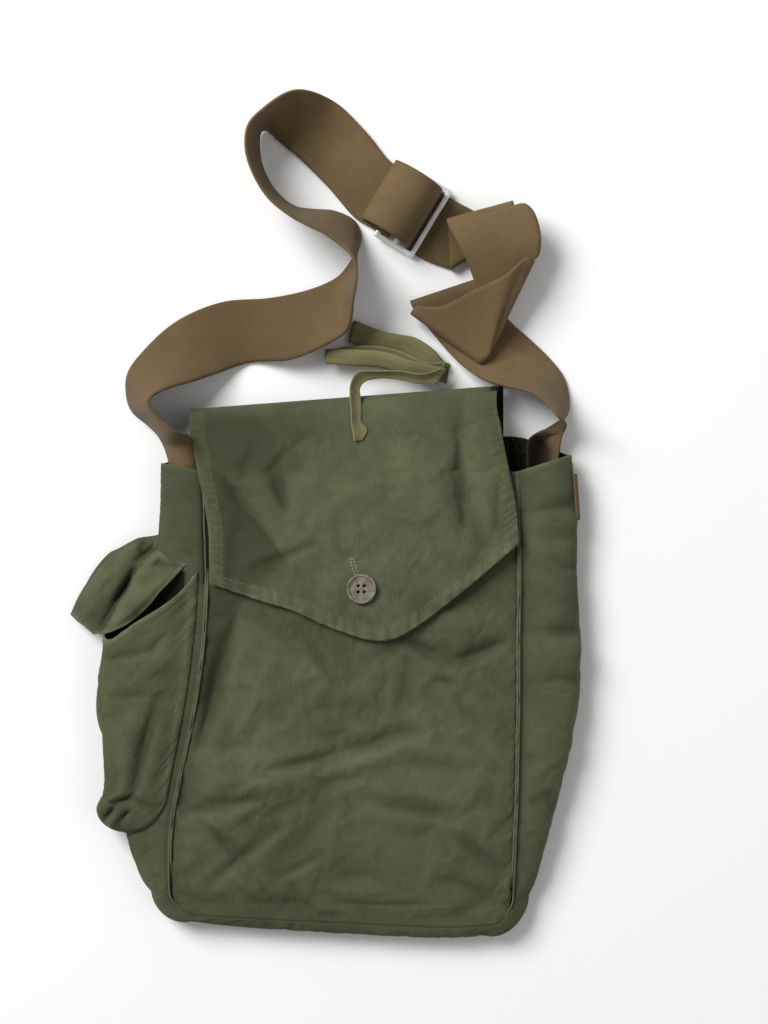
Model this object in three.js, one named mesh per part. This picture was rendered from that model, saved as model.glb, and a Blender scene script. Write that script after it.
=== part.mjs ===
// A canvas gas mask bag lying on its back: front, back and gusset sewn into a soft box, a pointed
// flap with one button, a side pocket, a webbing sling with a slide, and a cotton tie tape.
// Millimetres. Z is up, Y runs from the bottom of the bag to its mouth, X from its left to its right.
// The origin is on the underside of the back panel, which lies flat on the ground at z = 0.

import * as THREE from 'three';

// Driving dimensions
const canvas = 1.4;           // thickness of the canvas walls
const webbing = 1.6;          // thickness of the sling
const slingWidth = 40;
const tapeThickness = 1.0;
const tapeWidth = 12;
const stitchGap = 0.4;        // clearance between two pieces that are sewn together
const finHeight = 3.2;        // how far the side seams stand up
const mouthY = 113;           // top hem of the front panel and of the gusset
const backTopY = 134;         // top edge of the back panel, where the flap begins
const backBottomY = -136;     // bottom edge of the back panel
const foldRadius = 10.5;      // the flap's roll over the mouth
const flapLift = 4.2;         // middle of the flap above the middle of the front panel
const cornerRadius = 12;      // bottom corners of the front panel
const bottomRim = 17;         // height of the bottom seam
const backInset = 4;          // the back seams lie this far inside the front ones
const pressedFin = 0.25;      // share of the seam's height that is left under the flap
const flapCornerLeft = 46;    // where the flap's side edges end
const flapCornerRight = 70;
const hemShare = 0.08;        // share of the front's width that turns up into its seam
// How far the gusset's outer fold and its back edge rise at each side's mouth.
const flare = { from: 70, left: 5, right: 10, backLeft: 12, backRight: 21 };
const belly = { front: 0.95, back: 0.14 };        // roundness of the gusset at its front and back seam
const eye = { x: 23, y: 89, z: 1300 };   // outlines are read from above, from this point

const olive = { color: 0x53573f, roughness: 0.95, metalness: 0 };
const brown = { color: 0x735f46, roughness: 0.95, metalness: 0 };
const pale = { color: 0x75724f, roughness: 0.95, metalness: 0 };
const horn = { color: 0x726c58, roughness: 0.5, metalness: 0 };
const steel = { color: 0xb4b2ae, roughness: 0.35, metalness: 1 };

// A table with named columns: each row becomes an object.
function table(columns, rows) {
  const names = columns.split(' ');
  return rows.map((row) => Object.fromEntries(names.map((name, i) => [name, row[i] ?? 0])));
}

// Sections of the bag from its mouth down: the side seams and the outer folds of the gusset as they
// show from above, the height of the seams, and how far the front stands proud of them.
const sections = table('y seamLeft seamRight outLeft outRight rim crown', [
  [118, -85, 103, -109, 134, 24, 1],
  [84, -84, 104, -110, 137.5, 25, 3],
  [45, -83, 104.5, -114, 138, 27, 6],
  [10, -85, 104, -121, 140, 28, 8],
  [-24, -89.5, 104, -126, 139, 28, 9],
  [-52, -95, 103.5, -129, 134, 27, 8.5],
  [-80, -101, 103, -131, 128, 26, 7],
  [-104, -104.5, 102, -130, 121.5, 23, 5],
  [-128, -105, 101, -122, 114.5, 19.5, 3],
  [-146, -104, 100, -112, 108, bottomRim, 1],
]);

// The bottom edge of the front and the outer fold of the gusset below it.
const bottom = table('x edge out', [
  [-104, -150, -155],
  [-60, -152, -158],
  [0, -154, -161.5],
  [60, -156, -164],
  [100, -155, -162],
]);

// Soft folds: a ridge or, with a negative depth, a valley with its middle at x, y, running at an
// angle to X, each with half its length and half its width.
const frontFolds = table('x y angle length width depth', [
  [-36, -90, 31, 82, 9, -3.2],
  [-44, -72, 31, 60, 10, 2],
  [-66, -114, -50, 24, 5, -2.4],
  [74, 4, -6, 30, 6, -2.4],
  [10, -42, 6, 42, 8, -2.2],
  [48, -63, -4, 34, 7, -2],
  [-76, -18, 96, 58, 9, -3],
  [62, -110, 62, 40, 12, 1.6],
]);
const flapFolds = table('x y angle length width depth', [
  [69, 112, 94, 48, 7, -2.4],
  [83, 110, 94, 46, 8, 2],
  [-59, 91, -51.5, 34, 6, -2.6],
  [-82, 82, 93, 46, 13, 3],
  [-21, 137, 40, 24, 6, -2],
  [-39, 104, -71, 22, 6, -1.8],
]);

// The flap's side edges and its pointed lower edge, as they show from above.
const flapSides = table('y left right', [
  [164, -94, 91],
  [144, -92.5, 93],
  [126, -90.6, 96],
  [96, -87, 102],
  [63, -84, 104.5],
  [10, -82, 105],
]);
const flapHem = table('across y', [
  [0, flapCornerLeft],
  [0.17, 35],
  [0.26, 30],
  [0.4, 18.5],
  [0.54, 11.5],
  [0.63, 16],
  [0.8, 39],
  [1, flapCornerRight],
]);
const flapFoldLeft = 150;
const flapFoldRight = 164;
const backShare = 0.08;       // share of the flap's grid that lies flat behind the mouth
const rollShare = 0.2;        // share of it up to the end of the roll
const pressedNear = 9;        // the button holds the flap down inside this distance
const pressedFar = 24;

// The sling, a ruling across it in each row. a and b are its two edges as they show from above, low
// is the height of its lower edge, and b stands above a by what the width leaves over, times side.
// curl hollows the webbing across its width. At a fold, turn is the height it climbs as it doubles
// back, and slope is how much higher b is there.
const slingStart = table('ax ay bx by low side curl turn slope', [
  [-100, 88, -89, 88, 8, 0.2, -7],
  [-102.5, 112, -88, 117, 9, 0.2, -7],
  [-107.4, 126, -93.5, 133, 6, 0.5, -3],
  [-112, 135, -102, 137, 2, 1, -2],
  [-119, 142, -112.5, 146, 1.2, 1],
  [-128, 150, -118, 154, 1.2, 1],
  [-131, 161, -116, 158, 1.2, 1],
  [-130, 172, -107, 163, 1.2, 1],
  [-120, 186, -93, 167, 1.2, 1],
  [-101, 203, -80, 171, 1.2, 1],
  [-74, 215, -57, 178, 1.2, 1],
  [-45, 217, -34, 180, 1.2, 1],
  [-21, 222, -16, 187, 1.2, 1],
  [-5, 229, 1, 198, 1.2, 1],
  [1, 235, 5, 217, 1.2, 1],
  [6, 243, 7, 235, 1.2, 1],
  [9.5, 253, 3, 244, 1.2, 1],
  [5.5, 263, -2.5, 249, 1.2, 1],
  [-6.5, 269, -12, 256, 1.2, 1],
  [-18.5, 270, -21.5, 260.5, 1.2, 1],
  [-30.5, 272, -32.5, 266.5, 1.2, 1],
  [-41.5, 281, -45.5, 277, 1.2, 1],
  [-49, 294, -55, 292, 1.2, 1],
  [-51.5, 307, -59.5, 307, 1.2, 1],
  [-50.5, 317, -58, 321, 1.2, 1],
  [-47, 318, -50, 330, 1.2, 1],
  [-39, 311, -29.5, 342, 1.2, 1],
  [-28, 300, -6, 336, 2.6, 1],
  [-11, 283, 13.5, 317.5, 2, 1],
]);
const slingEnd = table('ax ay bx by low side curl turn slope', [
  [63, 234.5, 101, 257.5, 1.9, 1, 0, 5, 0],
  [60.6, 263.4, 100.5, 274.3, 7, 1, 0, 9, 3],
  [62.4, 260, 107, 274, 18, 1, 0, 0, 3],
  [64.8, 255.6, 112, 271, 20, 1, 0, 0, 2],
  [67.8, 250, 115.2, 265.2, 20.5, 1, 0, 0, 2],
  [71.4, 243, 117.3, 257, 19.5, 1, 0, 0, 3],
  [75.6, 232.8, 117.6, 249, 16, 1, 0, 0, 6],
  [81, 213, 115.8, 242.6, 11, 1, 0, 0, 9],
  [86.4, 186, 112.8, 238.8, 6, 1, 0, 9, 12],
  [86.5, 183, 97, 231.5, 15, 1, 0, 0, 14],
  [86, 182, 78, 222.5, 15, 1, 0, 0, 10],
  [85.5, 181, 57, 212, 15, 1, 0, 0, 4],
  [84.5, 181, 42, 212, 15, 1, 0, -8.6, 0],
  [82, 227, 40, 213, 6.2, 1, 0, -4.8, 0],
  [97, 205, 67, 180, 1.2, 1],
  [111, 192, 82, 169, 1.2, 1],
  [123, 180, 98, 164, 1.2, 1],
  [131, 169, 113, 160, 1.2, 1],
  [134, 157, 123, 152, 1.2, 1],
  [133, 147, 128, 146, 1.6, 1],
  [122, 136, 129, 136, 5, 0.75, -5],
  [118, 123, 118.5, 123, 5.4, 0.4, -12.5],
  [118, 88, 118.5, 88, 5, 0.4, -15],
]);

// The slide: its white bar's middle, the direction that the sling runs through it, and its sizes.
const slide = {
  x: 51, y: 261, heading: -31.3, long: 47, bar: 2.4, slot: 9.6, thick: 2.4, lift: 3, corner: 4, bevel: 0.6,
};
const slidePitch = slide.slot + slide.bar;

// The sling through the slide: distance along it from the first bar, and height.
const slingLoop = table('along height', [
  [-16, 1.2],
  [-6, 1.3],
  [3, 1.7],
  [6.6, 4.2],
  [5, 8.6],
  [-3, 10.4],
  [-10, 14],
  [-11.5, 20],
  [-6, 26.5],
  [3, 29.5],
  [12, 27],
  [18.4, 19],
  [19.6, 10],
  [18.6, 4.4],
  [21, 2],
  [25, 1.6],
  [32, 1.7],
]);

// The tie tape: out from behind the flap, back and forth in a loose hank, then over the flap's fold.
// The tail lies on the flap, so its low is counted from there.
const tieHank = table('ax ay bx by low side curl turn slope', [
  [61, 166, 63, 178, 0.9, 1],
  [48, 173.4, 50.4, 180, 0.9, 0.4],
  [36, 180, 39, 186.6, 1.2, 0.4],
  [24, 187.2, 27, 193.8, 1.2, 0.4],
  [4.2, 190.2, 7.2, 203, 1.2, 1, 0, 3.4, 0],
  [17.4, 188.4, 19.2, 197.4, 5.2, 0.3],
  [28.2, 189.6, 31.8, 195, 6, 0.6],
  [36, 185.4, 40.2, 191.1, 6, 0.6],
  [45, 178.8, 50, 185, 6, 0.5],
  [54.5, 168, 60, 178, 4.8, 1, 0, 3.4, 0],
  [45, 171.6, 47.4, 176.4, 8.8, 0.4],
  [31.8, 176.4, 34.2, 182.4, 8.6, 0.4],
  [19.8, 178.8, 21, 186.6, 8.4, 0.4],
  [3, 178.2, 3, 187.2, 8.4, 0.3],
  [-9, 177.6, -9.6, 186.3, 8.4, 1, 0, 3.4, 0],
  [4.2, 177, 4.8, 185.4, 12.2, 0.3],
  [21, 176.7, 23.4, 183.6, 12.2, 0.3],
  [36, 172.8, 39, 177.6, 12.2, 0.4],
  [54, 166, 59.5, 175, 12, 1, 0, 3.4, 0],
  [45, 165.6, 46.8, 171.6, 16.5, 0.4],
  [33, 168, 33, 173.4, 16.8, 0.4],
  [21, 168.9, 19.8, 173.4, 17, 0.4],
  [12, 166.8, 7.8, 172.8, 18, 0.4],
  [9, 162.6, 3.6, 166.2, 20, 0.3],
  [9.5, 157.5, 3, 158.5, 20.4, 0.3],
]);
const tieTail = table('ax ay bx by low side curl turn slope', [
  [10, 149, 3.6, 149, 0, 0.3],
  [9.8, 143.5, 3.8, 142.5, 0, 0.3],
  [13.4, 138, 4.6, 137, 0.4, 0.3],
  [10.4, 131.6, 5.6, 131.2, 0, 0.3],
]);

// The button, held to the flap by its thread.
const button = {
  x: 10.2, y: 43.8, radius: 8.6, thick: 1.9, bevel: 0.5, hole: 0.9, spread: 1.7, shank: 0.3,
};

// The pocket flap, thrown open to the left: its front and back edge from the gusset to its end, where
// it is sewn to the gusset, and the ripples across it.
const pocketFlapRows = table('fx fy fz bx by bz', [
  [-104, 54, 29, -116, 73, 10],
  [-114, 41, 28, -125, 70, 8],
  [-128, 30, 24, -138, 62, 4.5],
  [-140, 21, 18, -150, 48, 2.4],
  [-150, 16, 12, -164, 28, 2],
]);
const pocketFlapRoot = table('y place', [
  [57, 0.1],
  [73, 0.62],
]);
const pocketRipples = table('height across along', [
  [2.4, 7, 4],
  [1.4, 5, -11],
]);
const pocketFlapPuff = 3;

// The pocket's mouth and bottom, from its front seam round to its back seam, and how far it stands
// off the gusset from top to bottom.
const pocketEdge = table('across top foot', [
  [0, 53, -96],
  [0.06, 38, -98],
  [0.2, 22, -101],
  [0.42, 13, -103],
  [0.6, 14, -102],
  [0.8, 17, -100],
  [1, 26, -97],
]);
const pocketBulge = table('y amount', [
  [53, 22],
  [20, 24],
  [-10, 24],
  [-50, 19],
  [-80, 15],
  [-104, 13],
]);
const pocketFrontSeam = 0.07;
const pocketBackSeam = 0.72;
const pocketFoot = 0.84;      // from here down the pocket closes onto the gusset
const pocketRound = 0.8;
const pocketPucker = { height: 1.6, across: 9, down: 5 };

// Reads one column of a table at a value of its key column, on a smooth curve through the rows.
function read(rows, key, column, at) {
  const rising = rows[rows.length - 1][key] > rows[0][key];
  const sorted = rising ? rows : [...rows].reverse();
  const last = sorted.length - 1;
  const value = THREE.MathUtils.clamp(at, sorted[0][key], sorted[last][key]);
  let i = 0;
  while (i < last - 1 && value > sorted[i + 1][key]) i += 1;
  const slope = (k) => {
    const low = sorted[Math.max(k - 1, 0)];
    const high = sorted[Math.min(k + 1, last)];
    return (high[column] - low[column]) / (high[key] - low[key]);
  };
  const span = sorted[i + 1][key] - sorted[i][key];
  const t = (value - sorted[i][key]) / span;
  const h = t * t * (3 - 2 * t);
  const start = slope(i) * span * t * (1 - t) * (1 - t);
  const end = slope(i + 1) * span * t * t * (1 - t);
  return sorted[i][column] * (1 - h) + sorted[i + 1][column] * h + start - end;
}

// A point that shows at x, y from above stands nearer the middle the higher it is.
function seen(x, y, z) {
  const shrink = 1 - z / eye.z;
  return new THREE.Vector3(eye.x + (x - eye.x) * shrink, eye.y + (y - eye.y) * shrink, z);
}

const ease = THREE.MathUtils.smoothstep;
const mix = THREE.MathUtils.lerp;

function foldHeight(folds, x, y) {
  let height = 0;
  for (const fold of folds) {
    const angle = THREE.MathUtils.degToRad(fold.angle);
    const along = ((x - fold.x) * Math.cos(angle) + (y - fold.y) * Math.sin(angle)) / fold.length;
    const across = ((y - fold.y) * Math.cos(angle) - (x - fold.x) * Math.sin(angle)) / fold.width;
    const fade = Math.max(1 - along * along, 0);
    height += fold.depth * fade * fade * Math.exp(-across * across);
  }
  return height;
}

// A closed wall of even thickness on a grid of middle points; rows of the grid run along v.
function wall(grid, thickness) {
  const nu = grid.length;
  const nv = grid[0].length;
  const positions = [];
  const index = [];
  const at = (i, j) => grid[THREE.MathUtils.clamp(i, 0, nu - 1)][THREE.MathUtils.clamp(j, 0, nv - 1)];
  for (const side of [0.5, -0.5]) {
    for (let i = 0; i < nu; i += 1) {
      for (let j = 0; j < nv; j += 1) {
        const alongU = new THREE.Vector3().subVectors(at(i + 1, j), at(i - 1, j));
        const alongV = new THREE.Vector3().subVectors(at(i, j + 1), at(i, j - 1));
        const normal = alongU.cross(alongV).normalize();
        positions.push(...grid[i][j].clone().addScaledVector(normal, side * thickness).toArray());
      }
    }
  }
  const top = (i, j) => i * nv + j;
  const under = (i, j) => nu * nv + i * nv + j;
  const quad = (a, b, c, d) => index.push(a, b, c, a, c, d);
  for (let i = 0; i < nu - 1; i += 1) {
    for (let j = 0; j < nv - 1; j += 1) {
      quad(top(i, j), top(i + 1, j), top(i + 1, j + 1), top(i, j + 1));
      quad(under(i, j), under(i, j + 1), under(i + 1, j + 1), under(i + 1, j));
    }
  }
  for (let i = 0; i < nu - 1; i += 1) {
    quad(top(i, 0), under(i, 0), under(i + 1, 0), top(i + 1, 0));
    quad(top(i, nv - 1), top(i + 1, nv - 1), under(i + 1, nv - 1), under(i, nv - 1));
  }
  for (let j = 0; j < nv - 1; j += 1) {
    quad(top(0, j), top(0, j + 1), under(0, j + 1), under(0, j));
    quad(top(nu - 1, j), under(nu - 1, j), under(nu - 1, j + 1), top(nu - 1, j + 1));
  }
  const geometry = new THREE.BufferGeometry();
  geometry.setAttribute('position', new THREE.Float32BufferAttribute(positions, 3));
  geometry.setIndex(index);
  geometry.computeVertexNormals();
  return geometry;
}

function grid(us, vs, point) {
  return us.map((u) => vs.map((v) => point(u, v)));
}

const steps = (count) => Array.from({ length: count + 1 }, (_, i) => i / count);

// The gusset is followed from the left mouth (0) down, along the bottom and up to the right mouth (1).
const leftLength = 252;
const rightLength = 255;
const bottomLength = 180;
const cornerLength = cornerRadius * Math.PI / 2;
const gussetLength = leftLength + bottomLength + rightLength + 2 * cornerLength;

// Where a side seam ends and its bottom corner begins.
const cornerY = (side) => mouthY - (side < 0 ? leftLength : rightLength);
const cornerX = (side) => read(sections, 'y', side < 0 ? 'seamLeft' : 'seamRight', cornerY(side));

// The bottom edge of the front, rounded at its two corners.
function bottomEdge(x) {
  const side = x < 0 ? -1 : 1;
  const round = Math.max(1 - Math.abs(cornerX(side) - x) / cornerRadius, 0);
  return mix(cornerY(side), read(bottom, 'x', 'edge', x), Math.sqrt(Math.max(1 - round * round, 0)));
}

// Front panel
// Plan position of a point of the front, across from the left seam and down from the mouth.
function frontPlan(across, down) {
  const x = mix(cornerX(-1), cornerX(1), across);
  const y = mix(mouthY, bottomEdge(x), down);
  const left = read(sections, 'y', 'seamLeft', y);
  const right = read(sections, 'y', 'seamRight', y);
  return { x: mix(left, right, across), y };
}

function frontHeight(x, y) {
  const left = read(sections, 'y', 'seamLeft', y);
  const right = read(sections, 'y', 'seamRight', y);
  const off = THREE.MathUtils.clamp((2 * x - left - right) / (right - left), -1, 1);
  const dome = 1 - Math.abs(off) ** 3;
  const rim = read(sections, 'y', 'rim', y);
  return rim + dome * (read(sections, 'y', 'crown', y) + foldHeight(frontFolds, x, y));
}

// The seams stand up, but lie low where the flap presses on them.
function finTop(y, flapCorner) {
  return finHeight * mix(1, pressedFin, ease(y, flapCorner - 10, flapCorner + 4));
}

function frontPoint(across, down) {
  const edge = THREE.MathUtils.clamp(across, 0, 1);
  const plan = frontPlan(edge, down);
  const sideways = edge < 0.5 ? 1 : -1;
  const hem = (canvas + stitchGap) / 2;
  const inset = sideways * hem * (1 - ease(Math.min(edge, 1 - edge), 0, hemShare));
  const point = seen(plan.x + inset, plan.y, frontHeight(plan.x, plan.y));
  const flapCorner = edge < 0.5 ? flapCornerLeft : flapCornerRight;
  if (across !== edge) point.z += finTop(plan.y, flapCorner) * (1 - ease(down, 0.9, 0.98));
  return point;
}

function frontPanel() {
  const nearEdge = [0, 0.008, 0.022, 0.045];
  const middle = steps(16).map((u) => mix(hemShare, 1 - hemShare, u));
  const columns = [-1, ...nearEdge, ...middle, ...nearEdge.map((u) => 1 - u).reverse(), 2];
  const rows = steps(20);
  return wall(grid(columns, rows, (u, v) => frontPoint(u, 1 - v)), canvas);
}

// Gusset
function gussetSide(y, side) {
  const seam = read(sections, 'y', side < 0 ? 'seamLeft' : 'seamRight', y);
  const out = read(sections, 'y', side < 0 ? 'outLeft' : 'outRight', y);
  const opening = ease(y, flare.from, mouthY);
  return {
    x: seam, y, z: read(sections, 'y', 'rim', y), dx: side, dy: 0, reach: Math.abs(out - seam),
    inset: backInset, rise: opening * (side < 0 ? flare.left : flare.right),
    backRise: opening * (side < 0 ? flare.backLeft : flare.backRight),
  };
}

// How far the bottom strip runs back under the bag to the back panel.
const underneath = (edge) => backBottomY - stitchGap - edge;

function gussetCorner(turn, side) {
  const endY = cornerY(side);
  const start = gussetSide(endY, side);
  const sine = Math.sin(turn * Math.PI / 2);
  const cosine = Math.cos(turn * Math.PI / 2);
  const x = start.x - side * cornerRadius * (1 - cosine);
  const edge = read(bottom, 'x', 'edge', x);
  const out = read(bottom, 'x', 'out', x);
  return {
    x, y: mix(endY, edge, sine), z: mix(start.z, bottomRim, turn), dx: side * cosine, dy: -sine,
    reach: mix(start.reach, edge - out, turn), inset: mix(backInset, underneath(edge), turn), rise: 0,
    backRise: 0,
  };
}

function gussetSeam(along) {
  const distance = along * gussetLength;
  if (distance <= leftLength) return gussetSide(mouthY - distance, -1);
  if (distance <= leftLength + cornerLength) {
    return gussetCorner((distance - leftLength) / cornerLength, -1);
  }
  const fromRight = gussetLength - distance;
  if (fromRight <= rightLength) return gussetSide(mouthY - fromRight, 1);
  if (fromRight <= rightLength + cornerLength) {
    return gussetCorner((fromRight - rightLength) / cornerLength, 1);
  }
  const left = gussetCorner(1, -1).x;
  const right = gussetCorner(1, 1).x;
  const x = mix(left, right, (distance - leftLength - cornerLength) / bottomLength);
  const edge = read(bottom, 'x', 'edge', x);
  const out = read(bottom, 'x', 'out', x);
  return {
    x, y: edge, z: bottomRim, dx: 0, dy: -1, reach: edge - out, inset: underneath(edge), rise: 0, backRise: 0,
  };
}

// A point of the gusset: across is 0 at the front seam and 1 at the back seam, below 0 on the fin.
function gussetPoint(along, across) {
  const seam = gussetSeam(along);
  const t = Math.max(across, 0);
  const s = 1 - t;
  const hem = (canvas + stitchGap) / 2;
  const widest = 0.55;
  const control = (seam.reach + widest ** 3 * seam.inset) / (3 * widest * (1 - widest));
  const sideSeam = Math.abs(seam.dx);
  const out = hem * s + 3 * t * s * control - t * t * t * seam.inset;
  const ground = canvas / 2;
  const height = seam.z - ground;
  const z = ground + height * (s * s * s + 3 * s * t * (s * belly.front + t * belly.back));
  const foremost = seam.rise * Math.min(out / seam.reach, 1);
  const lengthwise = mix(foremost, seam.backRise, ease(t, widest, 1));
  const point = seen(seam.x + seam.dx * out, seam.y + seam.dy * out + lengthwise, z);
  const flapCorner = seam.x < 0 ? flapCornerLeft : flapCornerRight;
  if (across < 0) point.z += finTop(seam.y, flapCorner) * sideSeam ** 4;
  return point;
}

function gusset() {
  const left = steps(18).map((u) => u * leftLength);
  const corner = steps(4).map((u) => leftLength + u * cornerLength).slice(1);
  const base = steps(7).map((u) => leftLength + cornerLength + u * bottomLength).slice(1);
  const second = corner.map((u) => u + cornerLength + bottomLength);
  const right = steps(18).map((u) => gussetLength - (1 - u) * rightLength).slice(1);
  const stations = [...left, ...corner, ...base, ...second, ...right].map((u) => u / gussetLength);
  const across = [-1, ...steps(9)];
  return wall(grid(stations, across, (u, v) => gussetPoint(u, v)).reverse(), canvas);
}

// Where along the gusset a height y is met on its left or right side.
const leftAt = (y) => (mouthY - y) / gussetLength;
const rightAt = (y) => 1 - (mouthY - y) / gussetLength;

// A point that stands off the gusset by a distance, outwards when positive.
function offGusset(along, across, distance) {
  const step = 0.002;
  const point = gussetPoint(along, across);
  const alongU = gussetPoint(along + step, across).sub(gussetPoint(along - step, across));
  const acrossV = gussetPoint(along, across + step).sub(gussetPoint(along, across - step));
  return point.addScaledVector(acrossV.cross(alongU).normalize(), distance);
}

// Back panel, flat on the ground
function backPanel() {
  const clear = backInset + stitchGap;
  const point = (u, v) => {
    const y = mix(backBottomY + stitchGap, backTopY, v);
    const left = read(sections, 'y', 'seamLeft', y) + clear;
    const right = read(sections, 'y', 'seamRight', y) - clear;
    return seen(mix(left, right, u), y, canvas / 2);
  };
  return wall(grid(steps(4), steps(14), point), canvas);
}

// Flap
// Height of the middle of the flap above the ground at a place in plan.
function flapHeight(x, y) {
  const lying = frontHeight(x, Math.min(y, mouthY)) + flapLift;
  const rolled = canvas / 2 + 2 * foldRadius;
  const pressed = 1 - ease(Math.hypot(x - button.x, y - button.y), pressedNear, pressedFar);
  const folds = foldHeight(flapFolds, x, y) * (1 - pressed);
  const foldY = mix(flapFoldLeft, flapFoldRight, ease(x, flapSides[0].left, flapSides[0].right));
  return mix(lying + folds, rolled, ease(y, mouthY - 8, foldY - foldRadius));
}

function flapPoint(across, along) {
  const foldY = mix(flapFoldLeft, flapFoldRight, across);
  const centreY = foldY - foldRadius;
  const xAt = (y) => mix(read(flapSides, 'y', 'left', y), read(flapSides, 'y', 'right', y), across);
  if (along < backShare) {
    const y = mix(backTopY + stitchGap, centreY, along / backShare);
    return seen(xAt(foldY), y, canvas / 2);
  }
  if (along < rollShare) {
    const turn = Math.PI * (along - backShare) / (rollShare - backShare);
    const z = canvas / 2 + foldRadius * (1 - Math.cos(turn));
    return seen(xAt(foldY), centreY + foldRadius * Math.sin(turn), z);
  }
  const down = (along - rollShare) / (1 - rollShare);
  const y = mix(centreY, read(flapHem, 'across', 'y', across), down);
  const x = mix(xAt(foldY), xAt(y), ease(down, 0, 0.15));
  return seen(x, y, flapHeight(x, y));
}

function flap() {
  const back = [0, backShare / 2];
  const roll = steps(5).map((v) => mix(backShare, rollShare, v));
  const front = steps(14).map((v) => mix(rollShare, 1, v)).slice(1);
  return wall(grid(steps(20), [...back, ...roll, ...front], flapPoint), canvas);
}

// A flat shape given its thickness, its rims bevelled within its outline.
function plate(shape, thick, bevel, curveSegments) {
  const rim = { bevelEnabled: true, bevelSize: bevel, bevelThickness: bevel, bevelOffset: -bevel };
  const geometry = new THREE.ExtrudeGeometry(shape, {
    depth: thick - 2 * bevel, curveSegments, bevelSegments: 1, ...rim,
  });
  return geometry.translate(0, 0, bevel);
}

// Button: a round disc with four holes
function buttonGeometry() {
  const face = new THREE.Shape();
  face.absarc(0, 0, button.radius, 0, 2 * Math.PI);
  for (const [sx, sy] of [[1, 1], [-1, 1], [-1, -1], [1, -1]]) {
    const hole = new THREE.Path();
    hole.absarc(sx * button.spread, sy * button.spread, button.hole, 0, 2 * Math.PI, true);
    face.holes.push(hole);
  }
  return plate(face, button.thick, button.bevel, 8);
}

// Ribbons
// The ruling of a table row: both edges of the ribbon at their true places.
function ruling(row, width) {
  const middle = new THREE.Vector2((row.ax + row.bx) / 2, (row.ay + row.by) / 2);
  const half = new THREE.Vector2((row.bx - row.ax) / 2, (row.by - row.ay) / 2);
  const folded = row.turn !== 0 || row.slope !== 0;
  if (!folded && half.length() > width / 2) half.setLength(width / 2);
  const upright = Math.sqrt(Math.max(width ** 2 - 4 * half.lengthSq(), 0));
  const rise = folded ? row.slope : row.side * upright;
  const a = seen(middle.x - half.x, middle.y - half.y, row.low);
  const b = seen(middle.x + half.x, middle.y + half.y, row.low + rise);
  return { a, b, curl: row.curl };
}

// A fold becomes a half round of rulings that goes out past the fold and comes back higher or lower.
function rulings(rows, width) {
  const lines = [];
  rows.forEach((row, i) => {
    const line = ruling(row, width);
    if (row.turn === 0) {
      lines.push(line);
      return;
    }
    const before = rows[Math.max(i - 1, 0)];
    const heading = new THREE.Vector3(row.ax + row.bx, row.ay + row.by, 0);
    heading.sub(new THREE.Vector3(before.ax + before.bx, before.ay + before.by, 0));
    const across = new THREE.Vector3().subVectors(line.b, line.a).setZ(0).normalize();
    const out = heading.addScaledVector(across, -heading.dot(across)).normalize();
    for (const share of [0, 0.25, 0.5, 0.75, 1]) {
      const lift = row.turn / 2 * (1 - Math.cos(Math.PI * share));
      const reach = Math.abs(row.turn) / 2 * Math.sin(Math.PI * share);
      const shift = out.clone().multiplyScalar(reach).setZ(lift);
      lines.push({ a: line.a.clone().add(shift), b: line.b.clone().add(shift), curl: 0 });
    }
  });
  return lines;
}

// A ribbon through its rulings, smooth along its length.
function ribbon(lines, thickness, strips, perLine) {
  const edgeA = new THREE.CatmullRomCurve3(lines.map((line) => line.a), false, 'centripetal');
  const edgeB = new THREE.CatmullRomCurve3(lines.map((line) => line.b), false, 'centripetal');
  const count = (lines.length - 1) * perLine;
  const point = (u, v) => {
    const place = u * (lines.length - 1);
    const i = Math.min(Math.floor(place), lines.length - 2);
    const curl = mix(lines[i].curl, lines[i + 1].curl, place - i);
    const a = edgeA.getPoint(u);
    const b = edgeB.getPoint(u);
    const step = 0.25 / lines.length;
    const ahead = edgeA.getPoint(Math.min(u + step, 1)).add(edgeB.getPoint(Math.min(u + step, 1)));
    const behind = edgeA.getPoint(Math.max(u - step, 0)).add(edgeB.getPoint(Math.max(u - step, 0)));
    const across = new THREE.Vector3().subVectors(b, a).normalize();
    const normal = ahead.sub(behind).cross(across).normalize();
    return a.lerp(b, v).addScaledVector(normal, curl * 4 * v * (1 - v));
  };
  return wall(grid(steps(count), steps(strips), point), thickness);
}

function slingLines() {
  const heading = THREE.MathUtils.degToRad(slide.heading);
  const run = new THREE.Vector2(Math.cos(heading), Math.sin(heading));
  const side = new THREE.Vector2(-run.y, run.x).multiplyScalar(slingWidth / 2);
  const loop = slingLoop.map(({ along, height }) => {
    const x = slide.x + run.x * (along - 2 * slidePitch);
    const y = slide.y + run.y * (along - 2 * slidePitch);
    const a = new THREE.Vector3(x - side.x, y - side.y, height);
    const b = new THREE.Vector3(x + side.x, y + side.y, height);
    return { a, b, curl: 0 };
  });
  return [...rulings(slingStart, slingWidth), ...loop, ...rulings(slingEnd, slingWidth)];
}

function tieLines() {
  const seat = (canvas + tapeThickness) / 2 + stitchGap;
  const tail = tieTail.map((row) => ({ ...row, low: row.low + seat + flapHeight(row.ax, row.ay) }));
  return rulings([...tieHank, ...tail], tapeWidth);
}

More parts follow.
